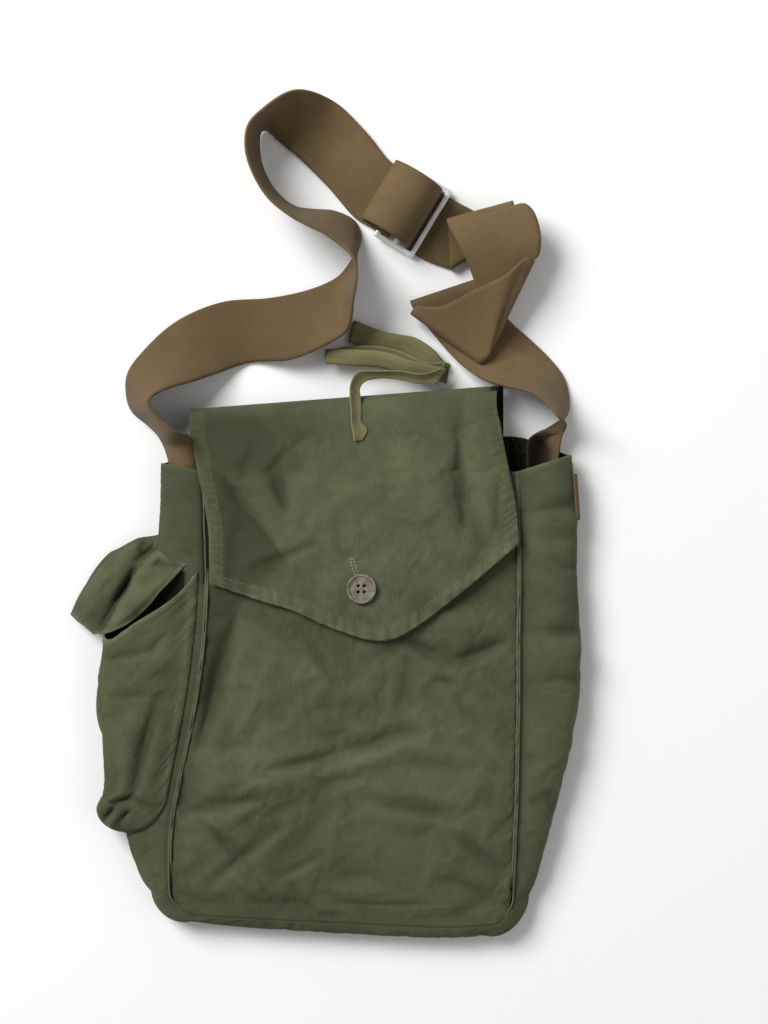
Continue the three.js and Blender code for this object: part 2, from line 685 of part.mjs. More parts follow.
// Slide: a flat frame with two slots, so three bars
function slideGeometry() {
  const width = 3 * slide.bar + 2 * slide.slot;
  const frame = new THREE.Shape();
  const corner = slide.corner;
  const halfLong = slide.long / 2;
  const halfWide = width / 2;
  frame.moveTo(halfWide - corner, -halfLong);
  frame.absarc(halfWide - corner, corner - halfLong, corner, -Math.PI / 2, 0);
  frame.absarc(halfWide - corner, halfLong - corner, corner, 0, Math.PI / 2);
  frame.absarc(corner - halfWide, halfLong - corner, corner, Math.PI / 2, Math.PI);
  frame.absarc(corner - halfWide, corner - halfLong, corner, Math.PI, 1.5 * Math.PI);
  const end = halfLong - slide.bar;
  for (const middle of [-slidePitch / 2, slidePitch / 2]) {
    const slot = new THREE.Path();
    slot.moveTo(middle - slide.slot / 2, -end);
    slot.lineTo(middle - slide.slot / 2, end);
    slot.lineTo(middle + slide.slot / 2, end);
    slot.lineTo(middle + slide.slot / 2, -end);
    frame.holes.push(slot);
  }
  return plate(frame, slide.thick, slide.bevel, 4);
}

// Side pocket: a wall that stands off the left gusset and closes onto it at its foot
function pocketPoint(across, down) {
  const top = read(pocketEdge, 'across', 'top', across);
  const y = mix(top, read(pocketEdge, 'across', 'foot', across), down);
  const place = mix(pocketFrontSeam, pocketBackSeam, across);
  const point = offGusset(leftAt(y), place, canvas + stitchGap);
  const foot = Math.max(down - pocketFoot, 0) / (1 - pocketFoot);
  const closing = Math.sqrt(Math.max(1 - foot * foot, 0));
  const arch = Math.sin(Math.PI * across);
  const stand = read(pocketBulge, 'y', 'amount', y) * arch ** pocketRound;
  const wave = Math.sin(pocketPucker.across * across + pocketPucker.down * down);
  point.x -= closing * (stand + arch * pocketPucker.height * Math.max(wave, 0));
  return point;
}

function sidePocket() {
  const foot = [0.2, 0.5, 0.75, 0.9, 1].map((v) => mix(pocketFoot, 1, v));
  const rows = [...steps(9).map((v) => pocketFoot * v), ...foot];
  return wall(grid(steps(12), rows, pocketPoint), canvas);
}

// Pocket flap: a crumpled leaf, its ripples growing towards the free end
function pocketFlapPoint(across, along) {
  const rows = pocketFlapRows.map((row, i) => ({ ...row, along: i / (pocketFlapRows.length - 1) }));
  const place = (name) => read(rows, 'along', name, along);
  const front = seen(place('fx'), place('fy'), place('fz'));
  const back = seen(place('bx'), place('by'), place('bz'));
  const [near, far] = pocketFlapRoot;
  const rootPlace = mix(near.place, far.place, across);
  const root = offGusset(leftAt(mix(near.y, far.y, across)), rootPlace, canvas + stitchGap);
  const point = root.lerp(front.lerp(back, across), ease(along, 0, 0.25));
  let lift = pocketFlapPuff;
  for (const wave of pocketRipples) lift += wave.height * Math.sin(wave.across * across + wave.along * along);
  point.z += Math.sin(Math.PI * across) * lift * ease(along, 0.1, 0.4);
  return point;
}

function pocketFlap() {
  return wall(grid(steps(10), steps(12), pocketFlapPoint).reverse(), canvas);
}

// Side tab: a short strip of webbing on the outer fold of the right gusset
function sideTab() {
  const tab = { from: 82, to: 103, front: 0.4, back: 0.6 };
  const point = (u, v) => {
    const along = rightAt(mix(tab.from, tab.to, u));
    return offGusset(along, mix(tab.front, tab.back, v), (canvas + webbing) / 2 + stitchGap);
  };
  return wall(grid(steps(3), steps(3), point).reverse(), webbing);
}

const bag = new THREE.Group();

function add(name, geometry, finish) {
  const mesh = new THREE.Mesh(geometry, new THREE.MeshStandardMaterial(finish));
  mesh.name = name;
  bag.add(mesh);
  return mesh;
}

add('front_panel', frontPanel(), olive);
add('gusset', gusset(), olive);
add('back_panel', backPanel(), olive);
add('flap', flap(), olive);
add('side_pocket', sidePocket(), olive);
add('pocket_flap', pocketFlap(), olive);
add('side_tab', sideTab(), brown);
add('sling', ribbon(slingLines(), webbing, 2, 2), brown);
add('tie_tape', ribbon(tieLines(), tapeThickness, 1, 2), pale);

const slideMesh = add('slide', slideGeometry(), steel);
const slideTurn = THREE.MathUtils.degToRad(slide.heading);
const slideX = slide.x - Math.cos(slideTurn) * slidePitch;
const slideY = slide.y - Math.sin(slideTurn) * slidePitch;
slideMesh.position.set(slideX, slideY, slide.lift);
slideMesh.rotation.z = slideTurn;

const buttonMesh = add('button', buttonGeometry(), horn);
const buttonSeat = flapHeight(button.x, button.y);
const reach = button.radius;
const nearButton = (dx, dy) => flapHeight(button.x + dx, button.y + dy);
const flapDrop = (dx, dy) => nearButton(-dx, -dy) - nearButton(dx, dy);
const buttonUp = new THREE.Vector3(flapDrop(reach, 0), flapDrop(0, reach), 2 * reach).normalize();
buttonMesh.quaternion.setFromUnitVectors(new THREE.Vector3(0, 0, 1), buttonUp);
buttonMesh.position.copy(seen(button.x, button.y, buttonSeat));
buttonMesh.position.addScaledVector(buttonUp, canvas / 2 + stitchGap + button.shank);

export default bag;
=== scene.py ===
# Canvas gas mask bag lying on its back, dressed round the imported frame
import math
import bpy
import numpy as np
from mathutils import Matrix, Vector
from mathutils.bvhtree import BVHTree


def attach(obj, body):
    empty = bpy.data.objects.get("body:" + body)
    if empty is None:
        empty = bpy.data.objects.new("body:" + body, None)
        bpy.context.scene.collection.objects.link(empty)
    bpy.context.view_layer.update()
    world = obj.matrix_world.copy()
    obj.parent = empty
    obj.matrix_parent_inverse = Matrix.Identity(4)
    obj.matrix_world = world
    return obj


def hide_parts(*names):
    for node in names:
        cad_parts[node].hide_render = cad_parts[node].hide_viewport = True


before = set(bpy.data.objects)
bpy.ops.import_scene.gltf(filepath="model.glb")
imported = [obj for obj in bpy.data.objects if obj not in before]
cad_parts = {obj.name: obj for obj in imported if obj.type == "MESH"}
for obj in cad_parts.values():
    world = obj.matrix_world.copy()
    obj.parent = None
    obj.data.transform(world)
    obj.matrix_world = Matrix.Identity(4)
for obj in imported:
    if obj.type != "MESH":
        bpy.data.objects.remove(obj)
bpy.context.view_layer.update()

scene = bpy.context.scene
mm = 0.001        # the tables below are in millimetres
bpy.ops.object.select_all(action="DESELECT")


# Sizes of the sewn body, as in the solids
body = {
    "canvas": 1.4, "stitchGap": 0.4, "finHeight": 2.2, "mouthY": 113, "backTopY": 134,
    "backBottomY": -136, "foldRadius": 10.5, "flapLift": 4.2, "cornerRadius": 12, "bottomRim": 17,
    "backInset": 4, "pressedFin": 0.25, "finBelow": 10, "finAbove": 4,
    "flapCornerLeft": 46, "flapCornerRight": 70,
    "cloth": 1.1, "seamGap": 0.08,         # the cloth as it shows, and the room left in a seam
}
hem = (body["cloth"] + body["seamGap"]) / 2
eye = (23, 89, 1300)      # the outlines are read from here


def table(columns, *rows):      # rows with named columns, missing ends are 0
    names = columns.split()
    full = np.array([list(row) + [0.0] * (len(names) - len(row)) for row in rows], float)
    return {name: full[:, i] for i, name in enumerate(names)}


def rowsOf(rows):               # the same table as one dictionary per row
    count = len(next(iter(rows.values())))
    return [{name: column[i] for name, column in rows.items()} for i in range(count)]


def read(rows, key, column, at):        # a smooth curve through one column
    keys, values = rows[key], rows[column]
    if keys[-1] < keys[0]:
        keys, values = keys[::-1], values[::-1]
    slopes = np.empty_like(values)
    slopes[1:-1] = (values[2:] - values[:-2]) / (keys[2:] - keys[:-2])
    slopes[0] = (values[1] - values[0]) / (keys[1] - keys[0])
    slopes[-1] = (values[-1] - values[-2]) / (keys[-1] - keys[-2])
    at = np.clip(at, keys[0], keys[-1])
    i = np.clip(np.searchsorted(keys, at) - 1, 0, len(keys) - 2)
    span = keys[i + 1] - keys[i]
    t = (at - keys[i]) / span
    h = t * t * (3 - 2 * t)
    bend = slopes[i] * span * t * (1 - t) ** 2 - slopes[i + 1] * span * t * t * (1 - t)
    return values[i] * (1 - h) + values[i + 1] * h + bend


def ease(at, low, high):
    t = np.clip((at - low) / (high - low), 0, 1)
    return t * t * (3 - 2 * t)


def mix(a, b, share):
    return a + (b - a) * share


def bell(at, middle, wide):     # 1 in the middle, fading on both sides
    return np.exp(-((at - middle) / wide) ** 2)


def grid(across, along):        # the shares across and along a sheet, as two grids
    return np.meshgrid(np.linspace(0, 1, across + 1), np.linspace(0, 1, along + 1), indexing="ij")


def alongTrack(track):          # how far each place of a track is from its start
    return np.append(0, np.linalg.norm(np.diff(track, axis=0), axis=1).cumsum())


def seen(x, y, z):              # a place read from above, at its height
    shrink = 1 - z / eye[2]
    x, y, z = np.broadcast_arrays(eye[0] + (x - eye[0]) * shrink, eye[1] + (y - eye[1]) * shrink, z)
    return np.stack([x, y, z], -1).astype(float)


def fromAbove(points):          # where places show on the ground, seen from the eye
    shrink = 1 - points[..., 2] / eye[2]
    return eye[0] + (points[..., 0] - eye[0]) / shrink, eye[1] + (points[..., 1] - eye[1]) / shrink


def foldHeight(folds, x, y):    # ridges and valleys, fading at their ends and sides
    height = 0.0
    for fold in rowsOf(folds):
        turn = math.radians(fold["angle"])
        along = ((x - fold["x"]) * math.cos(turn) + (y - fold["y"]) * math.sin(turn)) / fold["length"]
        across = ((y - fold["y"]) * math.cos(turn) - (x - fold["x"]) * math.sin(turn)) / fold["width"]
        height = height + fold["depth"] * np.maximum(1 - along ** 2, 0) ** 2 * bell(across, 0, 1)
    return height


# Sheets of cloth

def gridFaces(nu, nv):
    i, j = np.meshgrid(np.arange(nu - 1), np.arange(nv - 1), indexing="ij")
    a = (i * nv + j).ravel()
    return np.stack([a, a + nv, a + nv + 1, a + 1], 1)


def flatGrid(points, mirror=1):         # the cloth laid flat, in millimetres
    u = np.linalg.norm(np.diff(points, axis=0), axis=2).mean(1).cumsum()
    v = np.linalg.norm(np.diff(points, axis=1), axis=2).mean(0).cumsum()
    return np.stack(np.meshgrid(np.append(0, u), mirror * np.append(0, v), indexing="ij"), -1)


def newSheet(name, points, flat=None):  # points is a grid, in millimetres; the uv map is the flat cloth
    nu, nv = points.shape[:2]
    mesh = bpy.data.meshes.new(name)
    mesh.from_pydata((points.reshape(-1, 3) * mm).tolist(), [], gridFaces(nu, nv).tolist())
    piece = bpy.data.objects.new(name, mesh)
    scene.collection.objects.link(piece)
    flat = (flatGrid(points) if flat is None else flat).reshape(-1, 2) * mm
    corners = np.empty(len(mesh.loops), int)
    mesh.loops.foreach_get("vertex_index", corners)
    mesh.uv_layers.new(name="flatCloth").data.foreach_set("uv", flat[corners].ravel())
    return piece


def mark(piece, name, amounts):         # a painted amount on each point: wear and painted highlight, soil and painted shade
    layer = piece.data.attributes.new(name, "FLOAT", "POINT")
    layer.data.foreach_set("value", amounts.astype(np.float32).ravel())


clothValues = {"frames": 16, "quality": 7, "mass": 0.2, "stretch": 30, "shear": 12, "bend": 0.6, "air": 2,
               "pin": 0.6}


def settle(piece, shape, held, swell, cap, bend=clothValues["bend"]):
    # the cloth grows a little between its seams and buckles; held is how fast each point is kept
    pinned = piece.vertex_groups.new(name="held")
    for i, weight in enumerate(held.ravel()):
        if weight > 0:
            pinned.add([i], float(weight), "REPLACE")
    values = clothValues
    cloth = piece.modifiers.new("cloth", "CLOTH")
    settings = cloth.settings
    settings.quality = values["quality"]
    settings.mass = values["mass"]
    settings.tension_stiffness = settings.compression_stiffness = values["stretch"]
    settings.shear_stiffness = values["shear"]
    settings.bending_stiffness = bend
    settings.air_damping = values["air"]
    settings.shrink_min = -swell
    settings.pin_stiffness = values["pin"]
    settings.vertex_group_mass = pinned.name
    settings.effector_weights.gravity = 0
    cloth.collision_settings.use_collision = False
    cloth.point_cache.frame_start = 1
    cloth.point_cache.frame_end = values["frames"]
    for step in range(1, values["frames"] + 1):
        scene.frame_set(step)
    before = np.array([v.co for v in piece.data.vertices]) / mm
    settled = piece.evaluated_get(bpy.context.evaluated_depsgraph_get())
    after = np.array([v.co for v in settled.data.vertices]) / mm
    piece.modifiers.remove(cloth)
    piece.vertex_groups.remove(pinned)
    scene.frame_set(1)
    move = after - before
    far = np.linalg.norm(move, axis=1, keepdims=True)
    print("  settled", piece.name, "by up to", round(float(far.max()), 2), "mm")
    move *= cap * np.tanh(far / cap) / np.maximum(far, 1e-9)
    return (before + move).reshape(shape)


def hollows(points, reach):     # how far each point lies below the cloth round it, in grid steps
    height = points[..., 2]
    smooth = height
    for axis in (0, 1, 0, 1):
        count = smooth.shape[axis]
        room = [(reach + 1, reach) if axis == k else (0, 0) for k in (0, 1)]
        sums = np.cumsum(np.pad(smooth, room, mode="edge"), axis)
        wide = 2 * reach + 1
        smooth = (np.take(sums, range(wide, count + wide), axis) - np.take(sums, range(count), axis)) / wide
    return smooth - height


def setPoints(piece, points):
    piece.data.vertices.foreach_set("co", (points * mm).ravel())
    piece.data.update()


def surface(points):            # a grid of points as something to rest on
    nu, nv = points.shape[:2]
    return BVHTree.FromPolygons(points.reshape(-1, 3).tolist(), gridFaces(nu, nv).tolist())


overhead = 500.0        # above everything


def topAt(tree, x, y):          # the height of a surface, None beside it
    hit = tree.ray_cast(Vector((float(x), float(y), overhead)), Vector((0, 0, -1)))
    return None if hit[0] is None else hit[0].z


def keepAbove(points, tree, clear):     # nothing sinks into what it lies on
    lifted = points.copy()
    for point in lifted.reshape(-1, 3):
        top = topAt(tree, point[0], point[1])
        if top is not None and point[2] < top + clear:
            point[2] = top + clear
    return lifted


def onGrid(points, u, v):       # place and normal of a grid at shares u, v
    nu, nv = points.shape[:2]
    a = np.clip(u, 0, 1) * (nu - 1)
    b = np.clip(v, 0, 1) * (nv - 1)
    i = np.minimum(a.astype(int), nu - 2)
    j = np.minimum(b.astype(int), nv - 2)
    s, t = (a - i)[:, None], (b - j)[:, None]
    p, q, r, w = points[i, j], points[i + 1, j], points[i, j + 1], points[i + 1, j + 1]
    place = p * (1 - s) * (1 - t) + q * s * (1 - t) + r * (1 - s) * t + w * s * t
    normal = np.cross((q - p) + (w - r), (r - p) + (w - q))
    return place, normal / np.linalg.norm(normal, axis=1, keepdims=True)


def activeOnly(piece):
    bpy.ops.object.select_all(action="DESELECT")
    piece.select_set(True)
    bpy.context.view_layer.objects.active = piece


def thicken(piece, thickness):
    activeOnly(piece)
    wall = piece.modifiers.new("wall", "SOLIDIFY")
    wall.thickness = thickness * mm
    wall.offset = 0
    bpy.ops.object.modifier_apply(modifier=wall.name)
    bpy.ops.object.shade_smooth()
    piece.select_set(False)


def rimFaces(piece):            # the narrow faces round the edge of a thickened sheet
    count = len(piece.data.vertices) // 2
    return [f for f in piece.data.polygons if min(f.vertices) < count <= max(f.vertices)]


def dress(piece, material, slot, *nodes, inside=None, side=1):
    piece.data.materials.clear()
    piece.data.materials.append(material)
    if inside:                  # a thickened sheet has its outer faces, its inner ones, then its rim
        piece.data.materials.append(inside)
        count = (len(piece.data.polygons) - len(rimFaces(piece))) // 2
        for face in piece.data.polygons[side * count:(side + 1) * count]:
            face.material_index = 1
    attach(piece, "root")
    if nodes:
        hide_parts(*nodes)


# Materials

class Socket:       # a node's output; sums on it become Math nodes
    def __init__(self, paint, out):
        self.paint, self.out = paint, out

    def sum(self, operation, *others):
        return self.paint.node("ShaderNodeMath", {"operation": operation}, dict(enumerate((self,) + others)))

    def __add__(self, other):
        return self.sum("ADD", other)

    def __sub__(self, other):
        return self.sum("SUBTRACT", other)

    def __rsub__(self, other):
        return self.paint.flat(other).sum("SUBTRACT", self)

    def __mul__(self, other):
        return self.sum("MULTIPLY", other)

    def size(self):
        return self.sum("ABSOLUTE")

    def wave(self, pitch):      # from 0 to 1 and back over each pitch
        return (self * (2 * math.pi / pitch)).sum("SINE") * 0.5 + 0.5

    def spread(self, low, high, toLow=0.0, toHigh=1.0):
        return self.paint.node("ShaderNodeMapRange", {"interpolation_type": "SMOOTHSTEP"},
                               {0: self, 1: low, 2: high, 3: toLow, 4: toHigh})


class Paint:        # one material and the nodes in it
    def __init__(self, name):
        self.material = bpy.data.materials.new(name)
        self.material.use_nodes = True
        self.tree = self.material.node_tree
        self.shader = self.tree.nodes["Principled BSDF"]

    def node(self, kind, settings={}, inputs={}, output=0):
        made = self.tree.nodes.new(kind)
        for name, value in settings.items():
            setattr(made, name, value)
        for name, value in inputs.items():
            self.join(value, made.inputs[name])
        return Socket(self, made.outputs[output])

    def join(self, value, socket):
        if isinstance(value, Socket):
            self.tree.links.new(value.out, socket)
        else:
            socket.default_value = value

    def flat(self, value):
        return self.node("ShaderNodeMath", {"operation": "ADD"}, {0: value, 1: 0.0})

    def uv(self):
        place = self.node("ShaderNodeUVMap", {"uv_map": "flatCloth"})
        apart = self.tree.nodes.new("ShaderNodeSeparateXYZ")
        self.join(place, apart.inputs[0])
        return place, Socket(self, apart.outputs[0]), Socket(self, apart.outputs[1])

    def place(self):
        return self.node("ShaderNodeTexCoord", output="Object")

    def amount(self, name):
        return self.node("ShaderNodeAttribute", {"attribute_name": name}, output="Fac")

    def noise(self, at, scale, detail=3.0, rough=0.55):
        return self.node("ShaderNodeTexNoise", {}, {"Vector": at, "Scale": scale, "Detail": detail,
                                                    "Roughness": rough})

    def stretched(self, at, scale):
        return self.node("ShaderNodeMapping", {}, {"Vector": at, "Scale": scale})

    def blend(self, share, low, high):
        return self.node("ShaderNodeMix", {"data_type": "RGBA", "clamp_factor": True},
                         {0: share, 6: low, 7: high}, output=2)

    def bump(self, height, strength, distance):
        self.join(self.node("ShaderNodeBump", {}, {"Height": height, "Strength": strength,
                                                   "Distance": distance}), self.shader.inputs["Normal"])

    def put(self, **values):
        for name, value in values.items():
            self.join(value, self.shader.inputs[name.replace("_", " ")])


def specks(paint, at, cell, radius, share):     # loose lint: a dot in a few cells
    dots = paint.node("ShaderNodeTexVoronoi", {"feature": "F1"}, {"Vector": at, "Scale": 1 / cell})
    which = paint.node("ShaderNodeTexVoronoi", {"feature": "F1"}, {"Vector": at, "Scale": 1 / cell},
                       output="Color")
    chosen = which.sum("GREATER_THAN", 1 - share)
    return dots.spread(radius / cell * 0.6, radius / cell, 1.0, 0.0) * chosen


clothFinish = {"Sheen_Weight": 0.06, "Sheen_Roughness": 0.5, "Specular_IOR_Level": 0.18}
# soilAndShade is the dark of real dirt and of painted shade; wornAndHighlight the pale of rubbed wear and of
# painted highlight
canvasLook = {
    "dark": (0.058, 0.066, 0.029, 1), "mid": (0.096, 0.107, 0.053, 1), "light": (0.136, 0.146, 0.078, 1),
    "wornAndHighlight": (0.185, 0.188, 0.118, 1), "soilAndShade": (0.026, 0.029, 0.0125, 1), "lint": (0.46, 0.46, 0.36, 1),
    "inside": (0.006, 0.0065, 0.004, 1),        # where no light gets in
    "twill": 1.5 * mm, "yarn": 0.75 * mm, "lintCell": 46 * mm, "lintSize": 0.7 * mm, "lintShare": 0.2,
    "creases": 19.0, "relief": 0.65, "deep": 0.8 * mm,
}


def canvasMaterial():
    look = canvasLook
    paint = Paint("oliveTwill")
    flat, u, v = paint.uv()
    at = paint.place()
    wobble = paint.noise(flat, 90.0, 2.0) * (0.9 * mm)
    twill = (u + v + wobble).wave(look["twill"])
    yarns = (u - v + wobble).wave(look["yarn"])
    weave = twill * 0.75 + twill * yarns * 0.25
    slub = paint.noise(paint.stretched(flat, (1400.0, 120.0, 1.0)), 1.0, 2.0)
    mottle = paint.noise(at, 34.0, 5.0, 0.62)
    broad = paint.noise(at, 9.0, 3.0)
    colour = paint.blend(broad.spread(0.3, 0.72), look["dark"], look["light"])
    colour = paint.blend(0.5, colour, look["mid"])
    patch = paint.noise(at, 85.0, 4.0, 0.6)
    colour = paint.blend(mottle.spread(0.46, 0.72) * 0.4, colour, look["light"])
    colour = paint.blend(mottle.spread(0.32, 0.5, 1.0, 0.0) * 0.4, colour, look["dark"])
    colour = paint.blend(patch.spread(0.5, 0.75) * 0.3, colour, look["light"])
    colour = paint.blend(patch.spread(0.3, 0.48, 1.0, 0.0) * 0.35, colour, look["dark"])
    colour = paint.blend((1.0 - weave) * 0.5, colour, look["soilAndShade"])
    colour = paint.blend(slub.spread(0.5, 0.85) * 0.5, colour, look["light"])
    scuff = paint.noise(at, 160.0, 4.0).spread(0.3, 0.7)
    # paler where rubbed, and a painted highlight on the ridges
    colour = paint.blend(paint.amount("wearAndHighlight") * (scuff * 0.6 + 0.3), colour, look["wornAndHighlight"])
    # darker with soil and with painted shade in hollows, folds and under parts; near 1 the black painted
    # shade of the inside
    soilAndShade = paint.amount("soilAndShade")
    colour = paint.blend(soilAndShade * (mottle * 0.5 + 0.55), colour, look["soilAndShade"])
    colour = paint.blend(soilAndShade.spread(0.9, 1.0), colour, look["inside"])
    lint = specks(paint, at, look["lintCell"], look["lintSize"], look["lintShare"])
    colour = paint.blend(lint * 0.8, colour, look["lint"])
    paint.put(Base_Color=colour, Roughness=mottle * 0.12 + 0.84, **clothFinish)
    creased = (paint.noise(at, look["creases"], 3.0, 0.5) - 0.5).size().spread(0.0, 0.07)
    crumple = creased * 0.7 + mottle * 2.0 + patch * 1.3
    paint.bump(weave * 0.24 + slub * 0.22 + crumple, look["relief"], look["deep"])
    return paint.material


# inside is the black painted shade where no light gets in
webLook = {
    "dark": (0.085, 0.056, 0.026, 1), "mid": (0.148, 0.101, 0.047, 1), "light": (0.205, 0.143, 0.071, 1),
    "edge": (0.120, 0.066, 0.033, 1), "lint": (0.5, 0.42, 0.28, 1), "inside": (0.012, 0.008, 0.005, 1),
    "rib": 1.2 * mm, "finer": 1.6, "ribbed": 0.2,
}


def webMaterial(name, look):
    paint = Paint(name)
    flat, u, v = paint.uv()
    at = paint.place()
    wobble = paint.noise(flat, 160.0, 2.0) * (0.5 * mm)
    ribs = (u + wobble).wave(look["rib"])
    warp = (v + wobble).wave(look["rib"] / look["finer"])
    weave = ribs * 0.6 + ribs * warp * 0.4
    grain = paint.noise(at, 520.0, 3.0, 0.7)
    mottle = paint.noise(at, 26.0, 4.0, 0.6)
    colour = paint.blend(mottle.spread(0.3, 0.7), look["dark"], look["light"])
    colour = paint.blend(0.66, colour, look["mid"])
    colour = paint.blend(grain.spread(0.45, 0.75) * 0.4, colour, look["light"])
    colour = paint.blend((1.0 - weave) * look["ribbed"], colour, look["dark"])
    colour = paint.blend(paint.amount("wearAndHighlight") * 0.6, colour, look["edge"])
    # darker with soil and painted shade; near 1 the black painted shade of the inside
    soilAndShade = paint.amount("soilAndShade")
    colour = paint.blend(soilAndShade * 0.8, colour, look["dark"])
    colour = paint.blend(soilAndShade.spread(0.72, 1.0) * 0.9, colour, look["inside"])
    colour = paint.blend(specks(paint, at, 52 * mm, 0.7 * mm, 0.18) * 0.7, colour, look["lint"])
    paint.put(Base_Color=colour, Roughness=grain * 0.12 + 0.83, **clothFinish)
    paint.bump(weave * look["ribbed"] + grain * 0.5 + mottle * 0.8, 0.5, 0.7 * mm)
    return paint.material


# inside is the black painted shade where no light gets in
tapeLook = {
    "dark": (0.105, 0.094, 0.038, 1), "mid": (0.186, 0.172, 0.080, 1), "light": (0.255, 0.238, 0.122, 1),
    "edge": (0.215, 0.200, 0.100, 1), "lint": (0.42, 0.40, 0.26, 1), "inside": (0.03, 0.027, 0.012, 1),
    "rib": 0.8 * mm, "finer": 1.6, "ribbed": 0.25,
}


def shadeLiningMaterial():           # painted shade on the inner sides, which little light reaches
    paint = Paint("paintedShadeInside")
    fleck = paint.noise(paint.place(), 420.0, 3.0)
    colour = paint.blend(fleck.spread(0.3, 0.7), canvasLook["inside"], canvasLook["soilAndShade"])
    paint.put(Base_Color=colour, Roughness=fleck * 0.1 + 0.85, Specular_IOR_Level=0.1)
    return paint.material


def threadMaterial(name, look):
    paint = Paint(name)
    twist = paint.noise(paint.place(), 2600.0, 2.0)
    colour = paint.blend(twist.spread(0.3, 0.7), look["dark"], look["light"])
    paint.put(Base_Color=colour, Roughness=twist * 0.1 + 0.8)
    return paint.material


hornLook = {"dark": (0.098, 0.086, 0.058, 1), "light": (0.215, 0.195, 0.145, 1), "pale": (0.30, 0.27, 0.2, 1)}
steelLook = {"dull": (0.72, 0.71, 0.69, 1), "bright": (0.93, 0.925, 0.91, 1), "metallic": 0.4}
threadLook = {"dark": (0.075, 0.08, 0.04, 1), "light": (0.15, 0.153, 0.088, 1)}
paleThreadLook = {"dark": (0.2, 0.195, 0.13, 1), "light": (0.36, 0.35, 0.25, 1)}


def hornMaterial():
    paint = Paint("hornButton")
    at = paint.place()
    cloud = paint.noise(at, 240.0, 4.0, 0.6)
    grain = paint.noise(paint.stretched(at, (500.0, 1600.0, 500.0)), 1.0, 3.0)
    colour = paint.blend(cloud.spread(0.3, 0.7), hornLook["dark"], hornLook["light"])
    colour = paint.blend(grain.spread(0.5, 0.8) * 0.4, colour, hornLook["pale"])
    paint.put(Base_Color=colour, Roughness=cloud * 0.16 + 0.16, Specular_IOR_Level=0.6)
    paint.bump(grain, 0.25, 0.1 * mm)
    return paint.material


def steelMaterial():
    paint = Paint("platedSteel")
    at = paint.place()
    rub = paint.noise(paint.stretched(at, (300.0, 300.0, 900.0)), 1.0, 4.0)
    dull = paint.noise(at, 180.0, 3.0)
    colour = paint.blend(dull.spread(0.35, 0.75), steelLook["dull"], steelLook["bright"])
    paint.put(Base_Color=colour, Metallic=steelLook["metallic"], Roughness=rub * 0.22 + 0.24)
    paint.bump(rub, 0.15, 0.1 * mm)
    return paint.material


canvas = canvasMaterial()
webMat = webMaterial("brownWebbing", webLook)
tapeMat = webMaterial("paleTape", tapeLook)
shadeLining = shadeLiningMaterial()
thread = threadMaterial("hemThread", threadLook)
paleThread = threadMaterial("paleThread", paleThreadLook)
horn = hornMaterial()
steel = steelMaterial()
print("materials made")


# Stitches: each a small twisted bean, laid along a path on a surface

stitchValues = {"long": 2.3, "gap": 1.25, "radius": 0.34, "sink": 0.08, "droop": 0.6, "sides": 5}
stitchRings = table("share fat", (0, 0.35), (0.3, 1), (0.7, 1), (1, 0.35))


def stitchRow(name, place, normal, lift, values=stitchValues, material=thread):
    far = alongTrack(place)
    starts = np.arange(values["gap"], far[-1] - values["long"], values["long"] + values["gap"])
    verts, faces = [], []
    rings = rowsOf(stitchRings)
    sides = values["sides"]
    radius = values["radius"]
    for start in starts:
        base = len(verts)
        ends = [np.array([np.interp(s, far, place[:, k]) for k in range(3)])
                for s in (start, start + values["long"])]
        up = np.array([np.interp(start, far, normal[:, k]) for k in range(3)])
        along = ends[1] - ends[0]
        side = np.cross(up, along)
        side /= np.linalg.norm(side)
        for ring in rings:
            height = lift + radius * (ring["fat"] - 1) * values["droop"] - values["sink"]
            middle = ends[0] + along * ring["share"] + up * height
            for k in range(sides):
                turn = 2 * math.pi * k / sides
                spoke = side * math.cos(turn) + up * math.sin(turn)
                verts.append(middle + spoke * radius * ring["fat"])
        for ring in range(len(rings) - 1):
            for k in range(sides):
                a = base + ring * sides + k
                b = base + ring * sides + (k + 1) % sides
                faces.append((a, b, b + sides, a + sides))
        faces.append([base + k for k in reversed(range(sides))])
        faces.append([base + (len(rings) - 1) * sides + k for k in range(sides)])
    mesh = bpy.data.meshes.new(name)
    mesh.from_pydata((np.array(verts) * mm).tolist(), [], faces)
    piece = bpy.data.objects.new(name, mesh)
    scene.collection.objects.link(piece)
    mesh.shade_smooth()
    dress(piece, material, "canvas")


# Front panel

sections = table("y seamLeft seamRight outLeft outRight rim crown",
                 (118, -85, 103, -109, 134, 24, 1), (84, -84, 104, -110, 137.5, 25, 3),
                 (45, -83, 104.5, -114, 138, 27, 6), (10, -85, 104, -121, 140, 28, 8),
                 (-24, -89.5, 104, -126, 139, 28, 9), (-52, -95, 103.5, -129, 134, 27, 8.5),
                 (-80, -101, 103, -131, 128, 26, 7), (-104, -104.5, 102, -130, 121.5, 23, 5),
                 (-128, -105, 101, -122, 114.5, 19.5, 3), (-146, -104, 100, -112, 108, 17, 1))
bottom = table("x edge out", (-104, -152, -155), (-60, -155, -158), (0, -158, -161.5),
               (60, -160.5, -164), (100, -158.5, -162))
flapHem = table("across y", (0, 46), (0.17, 35), (0.26, 30), (0.4, 18.5), (0.54, 11.5), (0.63, 16),
                (0.8, 39), (1, 70))
frontFolds = table("x y angle length width depth",
                   (-36, -90, 31, 82, 9, -3.2), (-44, -72, 31, 60, 10, 2), (-66, -114, -50, 24, 5, -2.4),
                   (74, 4, -6, 30, 6, -2.4), (10, -42, 6, 42, 8, -2.2), (48, -63, -4, 34, 7, -2),
                   (-76, -18, 96, 58, 9, -3), (62, -110, 62, 40, 12, 1.6))
